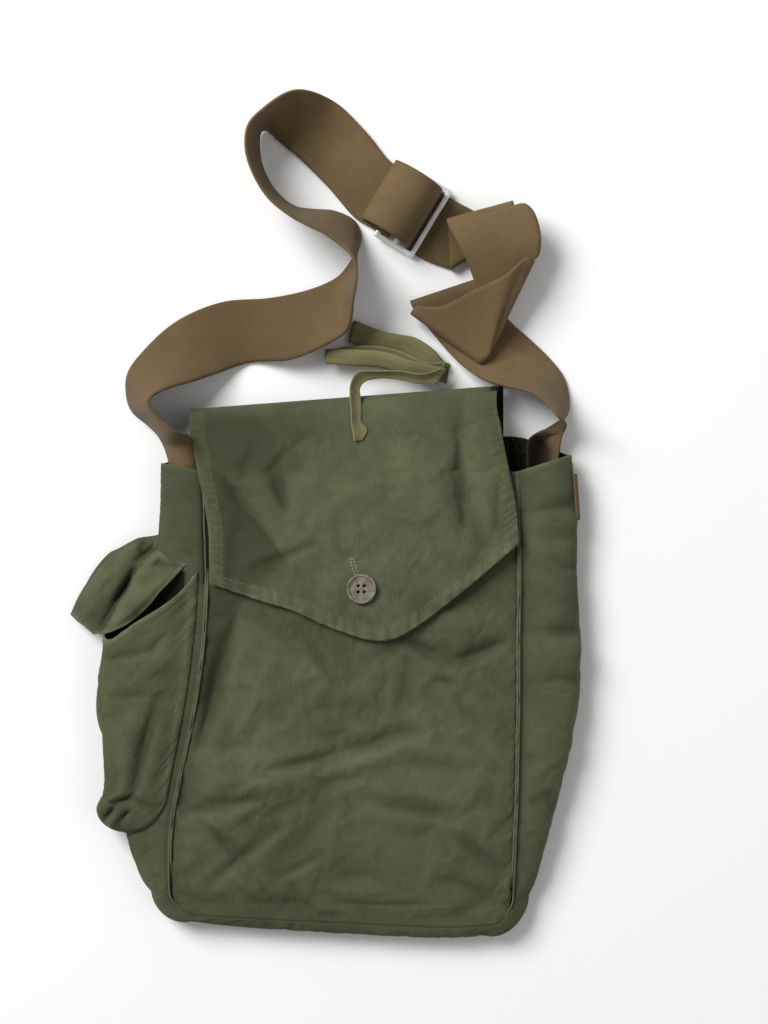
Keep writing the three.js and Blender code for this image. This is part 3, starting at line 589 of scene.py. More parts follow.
frontCreases = table("x y angle length width depth",     # sharper ones, only as they show
                     (-77, -14, 72, 62, 6.5, -4.6), (-66, 0, 74, 44, 7, 1.6), (50, 5, -27, 22, 4.5, -2.6),
                     (81, 5, 21, 26, 4.5, -2.8), (70, 22, 5, 36, 9, 2.4), (61, -13, -14, 11, 3, -1.4),
                     (-24, -61, 13, 28, 4.5, -2.2), (21, -48, 17, 40, 5.5, -2.4), (9, -62, 15, 30, 5, 1.6),
                     (-67, -86, 11, 38, 5, -2.4), (-62, -64, 15, 42, 10, 1.8),
                     (-73, -109, -45, 17, 3, -1.8), (-60, -117, 38, 38, 4, -2.2),
                     (42, -89, -11, 50, 6, -1.8), (81, -117, -40, 28, 5, -1.8), (-28, -124, 24, 22, 4, -1.2),
                     (72, -135, -23, 28, 4.5, -1.4), (-12, -3, -59, 20, 4, -1.2), (36, -14, 90, 26, 6, -0.9),
                     (-40, -30, 60, 40, 14, 1.4))
frontBand = table("y x", (60, -58), (29, -64.8), (0, -70.8), (-24, -76.2), (-51, -87), (-69, -96),
                  (-160, -120))     # the edge of the painted shade on the left slope
frontValues = {     # a pair is where something begins and where it is full
    "across": 128, "down": 168, "swell": 0.014, "cap": 1.8, "dome": 3, "hemShare": 0.08, "creaseShare": 0.045,
    "creaseDepth": 1.35, "bottomRound": (0.93, 1), "sideRound": (0.02, 0.07),
    "heldSide": 0.006, "heldTop": 0.004, "heldBottom": 0.006, "foundation": 0.08, "heldByFlap": 0.4,
    "flapOver": (20, 60), "finEnd": (0.9, 0.98), "rippled": 1.5, "finWear": (0.4, 0.25, 0.1),
    "reach": 7, "ridgeHighlight": 0.14, "ridgeMost": 1.4, "hollowShade": 0.24, "hollowMost": 1.6,
    "rightShade": 0.35, "rightWide": 0.012, "leftShade": 0.3, "leftWide": 0.02,
    "lowShade": 0.24, "low": (130, 156),
    "flapShadow": 0.3, "underFlap": 26, "bandShade": 0.85, "bandEdge": (-5, 3), "bandTop": (-75, 20),
    "slitWide": 0.035, "slit": (44, 56),
}
finShares = np.array([0.35, 0.7, 1.0])          # a standing seam is three more rows of cloth
finRows = len(finShares)
finRipples = table("high rate start", (0.4, 0.21, 0), (0.25, 0.53, 1))
soilAndShadeMost = 0.88         # beyond it the cloth shows as the black painted shade of the inside
leftLength, rightLength, bottomLength = 252, 255, 180
cornerLength = body["cornerRadius"] * math.pi / 2
gussetLength = leftLength + bottomLength + rightLength + 2 * cornerLength


def cornerY(side):
    return body["mouthY"] - (leftLength if side < 0 else rightLength)


def cornerX(side):
    return read(sections, "y", "seamLeft" if side < 0 else "seamRight", cornerY(side))


def bottomEdge(x):
    endX = np.where(x < 0, cornerX(-1), cornerX(1))
    endY = np.where(x < 0, cornerY(-1), cornerY(1))
    turn = np.maximum(1 - np.abs(endX - x) / body["cornerRadius"], 0)
    return mix(endY, read(bottom, "x", "edge", x), np.sqrt(np.maximum(1 - turn ** 2, 0)))


def frontHeight(x, y):
    left, right = read(sections, "y", "seamLeft", y), read(sections, "y", "seamRight", y)
    off = np.clip((2 * x - left - right) / (right - left), -1, 1)
    dome = 1 - np.abs(off) ** frontValues["dome"]
    crown = read(sections, "y", "crown", y) + foldHeight(frontFolds, x, y)
    return read(sections, "y", "rim", y) + dome * crown


def finTop(y, flapCorner):      # pressed down under the flap
    under = ease(y, flapCorner - body["finBelow"], flapCorner + body["finAbove"])
    return body["finHeight"] * mix(1, body["pressedFin"], under)


def frontPoints(across, down):
    values = frontValues
    x = mix(cornerX(-1), cornerX(1), across)
    y = mix(body["mouthY"], bottomEdge(x), down)
    x = mix(read(sections, "y", "seamLeft", y), read(sections, "y", "seamRight", y), across)
    near = np.minimum(across, 1 - across)
    inset = np.where(across < 0.5, 1, -1) * hem * (1 - ease(near, 0, values["hemShare"]))
    creases = foldHeight(frontCreases, x, y) * values["creaseDepth"]
    height = frontHeight(x, y) + creases * ease(near, 0, values["creaseShare"])
    # the bottom goes over into the gusset
    rounded = ease(down, *values["bottomRound"]) * ease(near, *values["sideRound"])
    return seen(x + inset, y, mix(height, body["bottomRim"], rounded)), y


def makeFront():
    values = frontValues
    across = np.linspace(0, 1, values["across"] + 1)
    down = np.linspace(1, 0, values["down"] + 1)
    a, d = np.meshgrid(across, down, indexing="ij")
    points, y = frontPoints(a, d)
    piece = newSheet("frontPanel", points)
    onSide = np.minimum(a, 1 - a) < values["heldSide"]
    seam = onSide | (d < values["heldTop"]) | (1 - d < values["heldBottom"])
    underFlap = ease(y, *values["flapOver"])
    held = np.maximum(seam, values["foundation"] + values["heldByFlap"] * underFlap)
    points = settle(piece, points.shape, held, values["swell"], values["cap"])
    bpy.data.objects.remove(piece)
    # the long edges turn up into the standing seams
    corner = np.where(a < 0.5, body["flapCornerLeft"], body["flapCornerRight"])
    rise = finTop(y, corner) * (1 - ease(d, *values["finEnd"]))
    fins = []
    for edge in (0, -1):
        ripple = sum(row["high"] * np.sin(row["rate"] * y[edge] + row["start"]) for row in rowsOf(finRipples))
        strip = np.repeat(points[edge][None], finRows, 0)
        strip[..., 2] += finShares[:, None] * (rise[edge] + ripple * (rise[edge] > values["rippled"]))
        fins.append(strip)
    lying = points
    points = np.concatenate([fins[0][::-1], lying, fins[1]])
    inner = slice(finRows, -finRows)
    piece = newSheet("frontPanel", points)
    wearAndHighlight = np.zeros(points.shape[:2])
    wearAndHighlight[:finRows] = np.array(values["finWear"])[:, None]
    wearAndHighlight[-finRows:] = np.array(values["finWear"])[::-1, None]
    low = hollows(lying, values["reach"])
    # paler ridges: painted highlight
    wearAndHighlight[inner] = values["ridgeHighlight"] * np.clip(-low, 0, values["ridgeMost"])
    mark(piece, "wearAndHighlight", wearAndHighlight)
    shownX, shownY = fromAbove(lying)
    # painted shade: along both seams, toward the rounded bottom, in the hollows, the flap hem's shadow below
    # it, and on the left slope by the seam
    byFlap = ease(lying[..., 1] - read(flapHem, "across", "y", a), -values["underFlap"], 0)
    band = 1 - ease(shownX - read(frontBand, "y", "x", shownY), *values["bandEdge"])
    dark = values["rightShade"] * bell(a, 1, values["rightWide"])
    dark = dark + values["leftShade"] * bell(a, 0, values["leftWide"])
    dark = dark + values["lowShade"] * ease(-lying[..., 1], *values["low"])
    dark = dark + values["hollowShade"] * np.clip(low, 0, values["hollowMost"]) + values["flapShadow"] * byFlap
    dark = dark + values["bandShade"] * band * ease(shownY, *values["bandTop"])
    slit = (a < values["slitWide"]) * ease(shownY, *values["slit"])       # painted black shadow in the slit beside the flap's left edge
    soilAndShade = np.zeros(points.shape[:2])
    soilAndShade[inner] = np.maximum(np.clip(dark, 0, soilAndShadeMost), slit)
    soilAndShade[:finRows] = slit[0]
    mark(piece, "soilAndShade", soilAndShade)
    thicken(piece, body["cloth"])
    dress(piece, canvas, "canvas", "front_panel")
    return lying


frontTree = surface(makeFront())
print("front panel made")


# Gusset: one strip from the left mouth, along the bottom, to the right mouth

gussetValues = {     # a pair is where something begins and where it is full
    "along": 420, "across": 44, "swell": 0.014, "cap": 1.1, "foundation": 0.1, "heldMore": 0.5,
    "widest": 0.55, "bellyFront": 0.95, "bellyBack": 0.14, "flareFrom": 70, "flareLeft": 5, "flareRight": 10,
    "backLeft": 12, "backRight": 21, "standing": 4, "normalStep": 0.002, "rimShare": 0.003,
    "foldEnd": (0.36, 0.52), "lapped": 1.15, "lap": (0.9, 0.98),
    "heldFront": 0.05, "heldBack": 0.9, "heldEnd": 0.002,
    "pocketTop": (40, 60), "pocketFoot": (210, 225), "mouth": (30, 60), "ground": 0.1,
    "tuckWide": 2.4, "tuckDeep": 1.3, "ripple": 0.2, "rippleRate": 0.33,
    "finWear": (0.3, 0.2, 0.1), "endWear": 0.5, "endWide": 2.0, "seamShade": 0.7, "seamWide": 0.03,
    "backShade": 0.35, "back": (0.6, 0.95), "hemDarker": 0.3, "hemAt": 24, "hemWide": 1.6, "bottomShade": 0.24,
    "reach": 4, "hollowShade": 0.35, "hollowMost": 1.2, "hollowFrom": 0.06, "hollowTo": 0.5, "leftShade": 0.5,
    "left": (60, 80), "coveredFrom": 0.1, "coveredLow": -5, "coveredHigh": 53,
}


def gussetSide(y, side):
    values = gussetValues
    seam = read(sections, "y", "seamLeft" if side < 0 else "seamRight", y)
    out = read(sections, "y", "outLeft" if side < 0 else "outRight", y)
    flare = values["flareLeft"] if side < 0 else values["flareRight"]
    back = values["backLeft"] if side < 0 else values["backRight"]
    opening = ease(y, values["flareFrom"], body["mouthY"])
    return {"x": seam, "y": y, "z": read(sections, "y", "rim", y), "dx": side + 0 * y, "dy": 0 * y,
            "reach": np.abs(out - seam), "inset": body["backInset"] + 0 * y, "rise": opening * flare,
            "backRise": opening * back}


def underneath(edge):
    return body["backBottomY"] - body["stitchGap"] - edge


def gussetCorner(turn, side):
    start = gussetSide(np.array(float(cornerY(side))), side)
    sine, cosine = np.sin(turn * math.pi / 2), np.cos(turn * math.pi / 2)
    x = start["x"] - side * body["cornerRadius"] * (1 - cosine)
    edge, out = read(bottom, "x", "edge", x), read(bottom, "x", "out", x)
    return {"x": x, "y": mix(cornerY(side), edge, sine), "z": mix(start["z"], body["bottomRim"], turn),
            "dx": side * cosine, "dy": -sine, "reach": mix(start["reach"], edge - out, turn),
            "inset": mix(body["backInset"], underneath(edge), turn), "rise": 0 * turn, "backRise": 0 * turn}


def gussetBase(share):
    full = np.array(1.0)
    x = mix(gussetCorner(full, -1)["x"], gussetCorner(full, 1)["x"], share)
    edge, out = read(bottom, "x", "edge", x), read(bottom, "x", "out", x)
    return {"x": x, "y": edge, "z": body["bottomRim"] + 0 * x, "dx": 0 * x, "dy": 0 * x - 1,
            "reach": edge - out, "inset": underneath(edge), "rise": 0 * x, "backRise": 0 * x}


def gussetSeam(along):
    distance = along * gussetLength
    fromRight = gussetLength - distance
    beside = leftLength + cornerLength
    parts = [gussetSide(body["mouthY"] - distance, -1),
             gussetCorner(np.clip((distance - leftLength) / cornerLength, 0, 1), -1),
             gussetBase((distance - beside) / bottomLength),
             gussetCorner(np.clip((fromRight - rightLength) / cornerLength, 0, 1), 1),
             gussetSide(body["mouthY"] - fromRight, 1)]
    which = [distance <= leftLength, distance <= beside, fromRight > rightLength + cornerLength,
             fromRight > rightLength, fromRight <= rightLength]
    return {name: np.select(which, [part[name] for part in parts]) for name in parts[0]}


def standing(dx):               # 1 down the sides, where the seams stand up, 0 along the bottom
    return np.abs(dx) ** gussetValues["standing"]


def gussetPoints(along, across):
    values = gussetValues
    seam = gussetSeam(along)
    t = np.maximum(across, 0)
    s = 1 - t
    widest = values["widest"]
    control = (seam["reach"] + widest ** 3 * seam["inset"]) / (3 * widest * (1 - widest))
    out = hem * s * standing(seam["dx"]) + 3 * t * s * control - t ** 3 * seam["inset"]
    ground = body["canvas"] / 2
    arch = s ** 3 + 3 * s * t * (s * values["bellyFront"] + t * values["bellyBack"])
    z = ground + (seam["z"] - ground) * arch
    lengthwise = mix(seam["rise"] * np.minimum(out / seam["reach"], 1), seam["backRise"], ease(t, widest, 1))
    return seen(seam["x"] + seam["dx"] * out, seam["y"] + seam["dy"] * out + lengthwise, z)


def leftAt(y):
    return (body["mouthY"] - y) / gussetLength


def rightAt(y):
    return 1 - (body["mouthY"] - y) / gussetLength


def offGusset(along, across, distance):
    step = gussetValues["normalStep"]
    alongU = gussetPoints(along + step, across) - gussetPoints(along - step, across)
    acrossV = gussetPoints(along, across + step) - gussetPoints(along, across - step)
    normal = np.cross(acrossV, alongU)
    normal /= np.linalg.norm(normal, axis=-1, keepdims=True)
    return gussetPoints(along, across) + normal * distance


gussetFolds = table("along across length width depth",       # places along it, in mm from the left mouth
                    (701, 0.34, 0.4, 3.6, -2.6), (693, 0.36, 0.4, 5, 1.8), (686, 0.3, 0.35, 4, -1.4),
                    (668, 0.42, 0.5, 6, -1.4), (628, 0.3, 0.4, 5, -2.4), (618, 0.36, 0.4, 7, 1.6),
                    (600, 0.24, 0.3, 7, -1.8), (560, 0.45, 0.5, 10, 1.2), (524, 0.34, 0.4, 8, -1.4),
                    (20, 0.4, 0.5, 6, -1.2), (60, 0.3, 0.4, 7, 1.2), (225, 0.3, 0.4, 9, -1.4),
                    (470, 0.4, 0.4, 8, -1.2))


def makeGusset():
    values = gussetValues
    along = np.linspace(0, 1, values["along"] + 1)[::-1]
    across = np.linspace(0, 1, values["across"] + 1)
    a, c = np.meshgrid(along, across, indexing="ij")
    points = gussetPoints(a, c)
    inside = [np.clip(at, values["rimShare"], 1 - values["rimShare"]) for at in (a, c)]
    away = offGusset(*inside, 1.0) - gussetPoints(*inside)
    distance = a * gussetLength
    dent = 0.0
    for fold in rowsOf(gussetFolds):
        near = np.maximum(1 - ((c - fold["across"]) / fold["length"]) ** 2, 0) ** 2
        dent = dent + fold["depth"] * near * bell(distance, fold["along"], fold["width"])
    points = points + away * (dent * (1 - ease(c, *values["foldEnd"])))[..., None]
    points[..., 2] += values["lapped"] * ease(c, *values["lap"])        # the back edge lies on the back panel
    piece = newSheet("gussetCloth", points)
    seam = (c < values["heldFront"]) | (c > values["heldBack"]) | (np.minimum(a, 1 - a) < values["heldEnd"])
    pocketed = ease(distance, *values["pocketTop"]) * (1 - ease(distance, *values["pocketFoot"]))
    mouths = 1 - ease(np.minimum(distance, gussetLength - distance), *values["mouth"])
    held = np.maximum(seam, values["foundation"] + values["heldMore"] * np.maximum(pocketed, mouths))
    points = settle(piece, points.shape, held, values["swell"], values["cap"])
    points[..., 2] = np.maximum(points[..., 2], body["cloth"] / 2 + values["ground"])
    bpy.data.objects.remove(piece)
    course = gussetSeam(along)
    upright = standing(course["dx"])[:, None]
    corner = np.where(a[:, 0] < 0.5, body["flapCornerLeft"], body["flapCornerRight"])
    rise = finTop(points[:, 0, 1], corner)[:, None] * upright
    share = finShares[::-1]
    strip = np.repeat(points[:, :1], finRows, 1)
    strip[..., 2] += share * (rise + values["ripple"] * np.sin(points[:, :1, 1] * values["rippleRate"]))
    # along the bottom there is no standing seam: the edge is tucked under the front
    tucked = (1 - upright) * share
    strip[..., 0] -= course["dx"][:, None] * tucked * values["tuckWide"]
    strip[..., 1] -= course["dy"][:, None] * tucked * values["tuckWide"]
    strip[..., 2] -= tucked * values["tuckDeep"]
    lying = points
    points = np.concatenate([strip, lying], 1)
    piece = newSheet("gussetCloth", points)
    wearAndHighlight = np.zeros(points.shape[:2])
    wearAndHighlight[:, :finRows] = np.array(values["finWear"]) * upright
    wearAndHighlight[:, finRows:] = values["endWear"] * bell(np.minimum(a, 1 - a) * gussetLength, 0, values["endWide"])
    mark(piece, "wearAndHighlight", wearAndHighlight)
    low = np.clip(hollows(lying, values["reach"]), 0, values["hollowMost"])
    shownY = fromAbove(lying)[1]
    # painted shade: beside the standing seam, on the back half and the bottom that turn from the light, by
    # the left mouth and in the hollows; a darker line at the right mouth's hem
    dark = values["seamShade"] * bell(c, 0, values["seamWide"]) * upright
    dark = dark + values["backShade"] * ease(c, *values["back"])
    dark = dark + values["hemDarker"] * bell(gussetLength - distance, values["hemAt"], values["hemWide"])
    dark = dark + values["bottomShade"] * (1 - upright)
    dark = dark + values["leftShade"] * (1 - ease(distance, *values["left"]))
    dark = dark + values["hollowShade"] * low * (c > values["hollowFrom"]) * (c < values["hollowTo"])
    covered = (shownY > values["coveredLow"]) & (shownY < values["coveredHigh"])        # painted black shade where the pocket covers it
    covered = covered & (a < 0.5) & (c > values["coveredFrom"])
    soilAndShade = np.zeros(points.shape[:2])
    soilAndShade[:, finRows:] = np.maximum(np.clip(dark, 0, soilAndShadeMost), covered)
    mark(piece, "soilAndShade", soilAndShade)
    thicken(piece, body["cloth"])
    dress(piece, canvas, "canvas", "gusset", inside=shadeLining)
    return lying


gussetTree = surface(makeGusset())
print("gusset made")


# Back panel, flat on the ground, its middle slightly risen

backValues = {"across": 60, "along": 80, "risen": 0.9, "risenAt": 0.2, "lap": 2.0, "ground": 0.05,
              "longer": 1.4, "wave": (0.07, 0.03), "wave2": (0.055, -0.02),
              "edgeWear": 0.3, "edgeWide": 0.01, "soilAndShade": 0.3}


def makeBack():
    values = backValues
    clear = body["backInset"] - values["lap"]
    u, v = grid(values["across"], values["along"])
    y = mix(body["backBottomY"] + body["stitchGap"], body["backTopY"], v)
    left = read(sections, "y", "seamLeft", y) + clear
    right = read(sections, "y", "seamRight", y) - clear
    x = mix(left, right, u)
    edge = np.minimum.reduce([u, 1 - u, v * values["longer"], (1 - v) * values["longer"]])
    (ax, ay), (by, bx) = values["wave"], values["wave2"]
    waves = np.sin(x * ax + y * ay) * np.sin(y * by + x * bx)
    risen = values["risen"] * ease(edge, 0, values["risenAt"]) * (0.5 + 0.5 * waves)
    piece = newSheet("backPanel", seen(x, y, body["cloth"] / 2 + values["ground"] + risen))
    mark(piece, "wearAndHighlight", values["edgeWear"] * bell(edge, 0, values["edgeWide"]))
    # painted shade all over: its top lies inside the bag
    mark(piece, "soilAndShade", np.full(edge.shape, values["soilAndShade"]))
    thicken(piece, body["cloth"])
    dress(piece, canvas, "canvas", "back_panel", inside=shadeLining, side=0)


makeBack()
print("back panel made")


# Flap: flat behind the mouth, rolled over it, pointed at its button

flapSides = table("y left right", (164, -94, 91), (144, -92.5, 93), (126, -90.6, 96), (108, -87.4, 99.6),
                  (96, -84.8, 102), (78, -82, 104), (63, -81.2, 104.5), (46, -81, 105), (10, -80, 105))
flapFolds = table("x y angle length width depth",
                  (69, 112, 94, 48, 7, -2.4), (83, 110, 94, 46, 8, 2), (-59, 91, -51.5, 34, 6, -2.6),
                  (-82, 82, 93, 46, 13, 3), (-21, 137, 40, 24, 6, -2), (-39, 104, -71, 22, 6, -1.8))
flapCreases = table("x y angle length width depth",
                    (69, 112, 94, 44, 3.2, -1.2), (-59, 91, -51.5, 30, 2.6, -1.6),
                    (-21, 137, 40, 22, 3.4, -1.4), (-40, 119, 57, 14, 3.4, -1.4),
                    (-38, 99, -71, 16, 3, -1.4), (-57, 120, 60, 18, 6, -1.6),
                    (-60, 137, -60, 16, 5, -1.2), (-22, 148, -75, 11, 3, -1), (98, 64, 40, 24, 9, 2.4),
                    (75, 45, 35, 36, 6, 1.4), (30, 120, 80, 40, 14, 1), (0, 90, 20, 50, 16, 0.8),
                    (-36, 62, 22, 26, 4, -1), (92, 100, 85, 26, 3, -0.8))
flapShadeSpots = table("x y across up", (-57, 126, 150, 150), (-41, 104, 36, 225))      # painted shade spots at creases, with squared widths
flapValues = {       # a pair is where something begins and where it is full
    "across": 136, "back": 14, "roll": 26, "down": 104, "foldLeft": 150, "foldRight": 164,
    "backShare": 0.08, "rollShare": 0.2, "pressed": (9, 24), "overMouth": 8,
    "backOut": 4.0, "backOutFrom": 0.95, "narrows": (1.2, 2.6), "straightBy": 0.15, "lyingBy": 0.1,
    "heldSide": 0.004, "heldFoot": 0.994, "heldEdge": 0.5, "heldButton": 12, "free": 0.93,
    "swell": 0.012, "cap": 1.6, "clear": 1.7, "creaseDepth": 1.4, "wide": 190, "long": 150,
    "hem": 9.0, "hemSoft": 0.8, "hemStep": 0.7, "sideStep": 0.2, "onHem": (-2, 6),
    "stitchIn": 1.2, "stitchFrom": 0.42, "stitchLift": 0.1, "sidePlaces": 90, "hemPlaces": 260,
    "furrow": 0.45, "furrowWide": 0.9, "pucker": 0.45, "sidePucker": 0.4,
    "puckerRate": 0.8, "puckerDrift": 1.7, "driftRate": 0.16,
    "rimWear": 0.4, "rimWide": 1.4, "foldWear": 0.1, "foldAt": 0.15, "foldWide": 0.05, "hemWear": 0.14,
    "ridgeHighlight": 0.12, "reach": 6, "reliefMost": 1.2, "hollowShade": 0.36, "spotShade": 0.7,
    "creaseX": -59, "creaseY": 91, "creaseDx": 0.623, "creaseDy": -0.783,        # the long crease's heading
    "facetEdge": (-1, 2), "facetMiddle": 4, "facetEnd": (26, 44), "facetSide": (3, 12),
    "slopeShade": 0.42, "slopeX": 69, "slopeLeft": 13, "slopeRight": 2.2, "slopeUp": (60, 84),
    "cornerShade": 0.62, "cornerX": (-60, 10), "cornerY": (90, 130), "leftShade": 0.3, "left": (-88, -36),
    "behind": (0.96, 0.98), "behindTo": 0.03, "topFrom": 0.05, "hemClean": 0.4, "soilAndShadeMost": 0.85,
}
button = {"x": 10.2, "y": 43.8, "radius": 8.6, "rim": 6.6, "thick": 2.3, "dish": 1.1, "sides": 48,
          "hole": 1.0, "holeSides": 20, "spread": 1.75, "drill": 20, "seat": 0.5, "tiltAt": 7,
          "crest": 0.55, "domeShare": 0.45, "dome": 0.25, "footIn": 1.6, "foot": 0.35,
          "edge": 0.32, "sharp": 35, "smooth": 40}


def flapHeight(x, y):
    values = flapValues
    lying = frontHeight(x, np.minimum(y, body["mouthY"])) + body["flapLift"]
    rolled = body["canvas"] / 2 + 2 * body["foldRadius"]
    pressed = 1 - ease(np.hypot(x - button["x"], y - button["y"]), *values["pressed"])
    folds = foldHeight(flapFolds, x, y) + values["creaseDepth"] * foldHeight(flapCreases, x, y)
    folds = folds * (1 - pressed)
    foldY = mix(values["foldLeft"], values["foldRight"], ease(x, flapSides["left"][0], flapSides["right"][0]))
    overRoll = ease(y, body["mouthY"] - values["overMouth"], foldY - body["foldRadius"])
    return mix(lying + folds, rolled, overRoll)


def flapPoints(across, along):
    values = flapValues
    foldY = mix(values["foldLeft"], values["foldRight"], across)
    centreY = foldY - body["foldRadius"]
    ground = body["canvas"] / 2

    def xAt(y):
        return mix(read(flapSides, "y", "left", y), read(flapSides, "y", "right", y), across)

    flatShare = np.clip(along / values["backShare"], 0, 1)
    # the layer behind is wider on the right
    wider = values["backOut"] * ease(across, values["backOutFrom"], 1)
    flatY = mix(body["backTopY"] + body["stitchGap"], centreY, flatShare)
    flatPart = seen(xAt(foldY) + wider, flatY, ground)
    rollLong = values["rollShare"] - values["backShare"]
    turn = math.pi * np.clip((along - values["backShare"]) / rollLong, 0, 1)
    radius = body["foldRadius"]
    narrowing = xAt(foldY) + wider * (1 - ease(turn, *values["narrows"]))
    rollPart = seen(narrowing, centreY + radius * np.sin(turn), ground + radius * (1 - np.cos(turn)))
    down = np.clip((along - values["rollShare"]) / (1 - values["rollShare"]), 0, 1)
    y = mix(centreY, read(flapHem, "across", "y", across), down)
    x = mix(xAt(foldY), xAt(y), ease(down, 0, values["straightBy"]))
    lyingPart = seen(x, y, flapHeight(x, y))
    isBack = (along < values["backShare"])[..., None]
    isRoll = (along < values["rollShare"])[..., None]
    return np.where(isBack, flatPart, np.where(isRoll, rollPart, lyingPart))


def makeFlap():
    values = flapValues
    along = np.concatenate([np.linspace(0, values["backShare"], values["back"] + 1)[:-1],
                            np.linspace(values["backShare"], values["rollShare"], values["roll"] + 1)[:-1],
                            np.linspace(values["rollShare"], 1, values["down"] + 1)])
    a, v = np.meshgrid(np.linspace(0, 1, values["across"] + 1), along, indexing="ij")
    points = flapPoints(a, v)
    piece = newSheet("flapCloth", points)
    lying = ease(v, values["rollShare"], values["rollShare"] + values["lyingBy"])
    edge = np.minimum(a, 1 - a) < values["heldSide"]
    edge = values["heldEdge"] * np.maximum(edge, v > values["heldFoot"])
    byButton = np.hypot(points[..., 0] - button["x"], points[..., 1] - button["y"]) < values["heldButton"]
    held = np.maximum.reduce([edge, byButton * 1.0, 1 - lying * values["free"]])
    points = settle(piece, points.shape, held, values["swell"], values["cap"])
    bpy.data.objects.remove(piece)
    shown = v >= values["rollShare"]
    points = np.where(shown[..., None], keepAbove(points, frontTree, values["clear"]), points)
    # the hem is turned in and sewn: a thicker puckered border with a furrow at the stitches
    fromSide = np.minimum(a, 1 - a) * values["wide"]
    length = np.linalg.norm(np.diff(points[:, values["back"] + values["roll"]:], axis=1), axis=2).sum(1)
    fromHem = (1 - v) / (1 - values["rollShare"]) * length[:, None]
    fromEdge = np.where(shown, np.minimum(fromSide, fromHem), fromSide)
    run = np.where(fromHem < fromSide, a * values["wide"], v * values["wide"])
    border = 1 - ease(fromEdge, values["hem"] - values["hemSoft"], values["hem"] + values["hemSoft"])
    furrow = values["furrow"] * bell(fromEdge, values["hem"] - values["stitchIn"], values["furrowWide"])
    drift = values["puckerDrift"] * np.sin(values["driftRate"] * run)
    pucker = values["pucker"] * np.sin(values["puckerRate"] * run + drift) * border
    below = ease(fromSide - fromHem, *values["onHem"])
    step = mix(values["sideStep"], values["hemStep"], below)
    points[..., 2] += shown * (step * border + mix(values["sidePucker"], 1, below) * (pucker - furrow))
    piece = newSheet("flapCloth", points, flatGrid(points, -1))
    low = hollows(points, values["reach"])
    wearAndHighlight = values["rimWear"] * bell(fromEdge, 0, values["rimWide"])
    wearAndHighlight = wearAndHighlight + values["foldWear"] * bell(v, values["foldAt"], values["foldWide"])
    wearAndHighlight = wearAndHighlight + values["hemWear"] * border * below
    # paler ridges: painted highlight
    wearAndHighlight = wearAndHighlight + values["ridgeHighlight"] * np.clip(-low, 0, values["reliefMost"]) * shown
    mark(piece, "wearAndHighlight", np.clip(wearAndHighlight, 0, 1))
    # painted shade: the facet left of the long crease, spots at the creases, the slope left of the right-hand
    # valley, the upper-left corner, the left third and the hollows, less on the hem
    x, y = fromAbove(points)
    dx, dy = x - values["creaseX"], y - values["creaseY"]
    leftOf = values["creaseDy"] * dx - values["creaseDx"] * dy        # left of the long crease, and along it
    downIt = values["creaseDx"] * dx + values["creaseDy"] * dy
    dark = ease(leftOf, *values["facetEdge"]) * ease(fromSide, *values["facetSide"])
    dark = dark * (1 - ease(np.abs(downIt - values["facetMiddle"]), *values["facetEnd"]))
    for shadeSpot in rowsOf(flapShadeSpots):
        off = (x - shadeSpot["x"]) ** 2 / shadeSpot["across"] + (y - shadeSpot["y"]) ** 2 / shadeSpot["up"]
        dark = dark + values["spotShade"] * np.exp(-off)
    wide = np.where(x < values["slopeX"], values["slopeLeft"], values["slopeRight"])
    dark = dark + values["slopeShade"] * bell(x, values["slopeX"], wide) * ease(y, *values["slopeUp"])
    dark = dark + values["cornerShade"] * (1 - ease(x, *values["cornerX"])) * ease(y, *values["cornerY"])
    dark = dark + values["leftShade"] * (1 - ease(x, *values["left"]))
    dark = dark + values["hollowShade"] * np.clip(low, 0, values["reliefMost"])
    # painted black shade on the wider back layer at the right, behind the roll
    behind = ease(a, *values["behind"]) * (v < values["rollShare"] - values["behindTo"])
    onTop = ease(v, values["backShare"] + values["topFrom"], values["rollShare"])
    dark = dark * onTop * (1 - values["hemClean"] * border)
    mark(piece, "soilAndShade", np.maximum(np.clip(dark, 0, values["soilAndShadeMost"]), behind))
    thicken(piece, body["cloth"])
    dress(piece, canvas, "canvas", "flap")
    corner = points[:-1, :-1]
    facets = np.cross(points[1:, :-1] - corner, points[:-1, 1:] - corner)
    area = float(np.linalg.norm(facets, axis=2).sum()) * mm * mm
    return points, along


flap, flapAlong = makeFlap()
flapTree = surface(flap)
print("flap made")


def flapStitches():
    # down the left side, along the pointed hem and up the right side
    values = flapValues
    side = values["hem"] - values["stitchIn"]
    across, low, start = side / values["wide"], 1 - side / values["long"], values["stitchFrom"]
    few, many = values["sidePlaces"], values["hemPlaces"]
    path = [(np.full(few, across), np.linspace(start, low, few)),
            (np.linspace(across, 1 - across, many), np.full(many, low)),
            (np.full(few, 1 - across), np.linspace(low, start, few))]
    shares = np.interp(np.concatenate([p[1] for p in path]), flapAlong, np.linspace(0, 1, len(flapAlong)))
    place, normal = onGrid(flap, np.concatenate([p[0] for p in path]), shares)
    stitchRow("flapHemStitches", place, -normal, body["cloth"] / 2 + values["stitchLift"])


buttonhole = {"x": 6.2, "y": 56, "angle": -73, "half": 7, "wide": 1.0, "from": 0.15, "past": 0.1,
              "places": 90, "lift": 0.05,
              "stitch": {**stitchValues, "long": 1.6, "gap": 0.3, "radius": 0.4}}


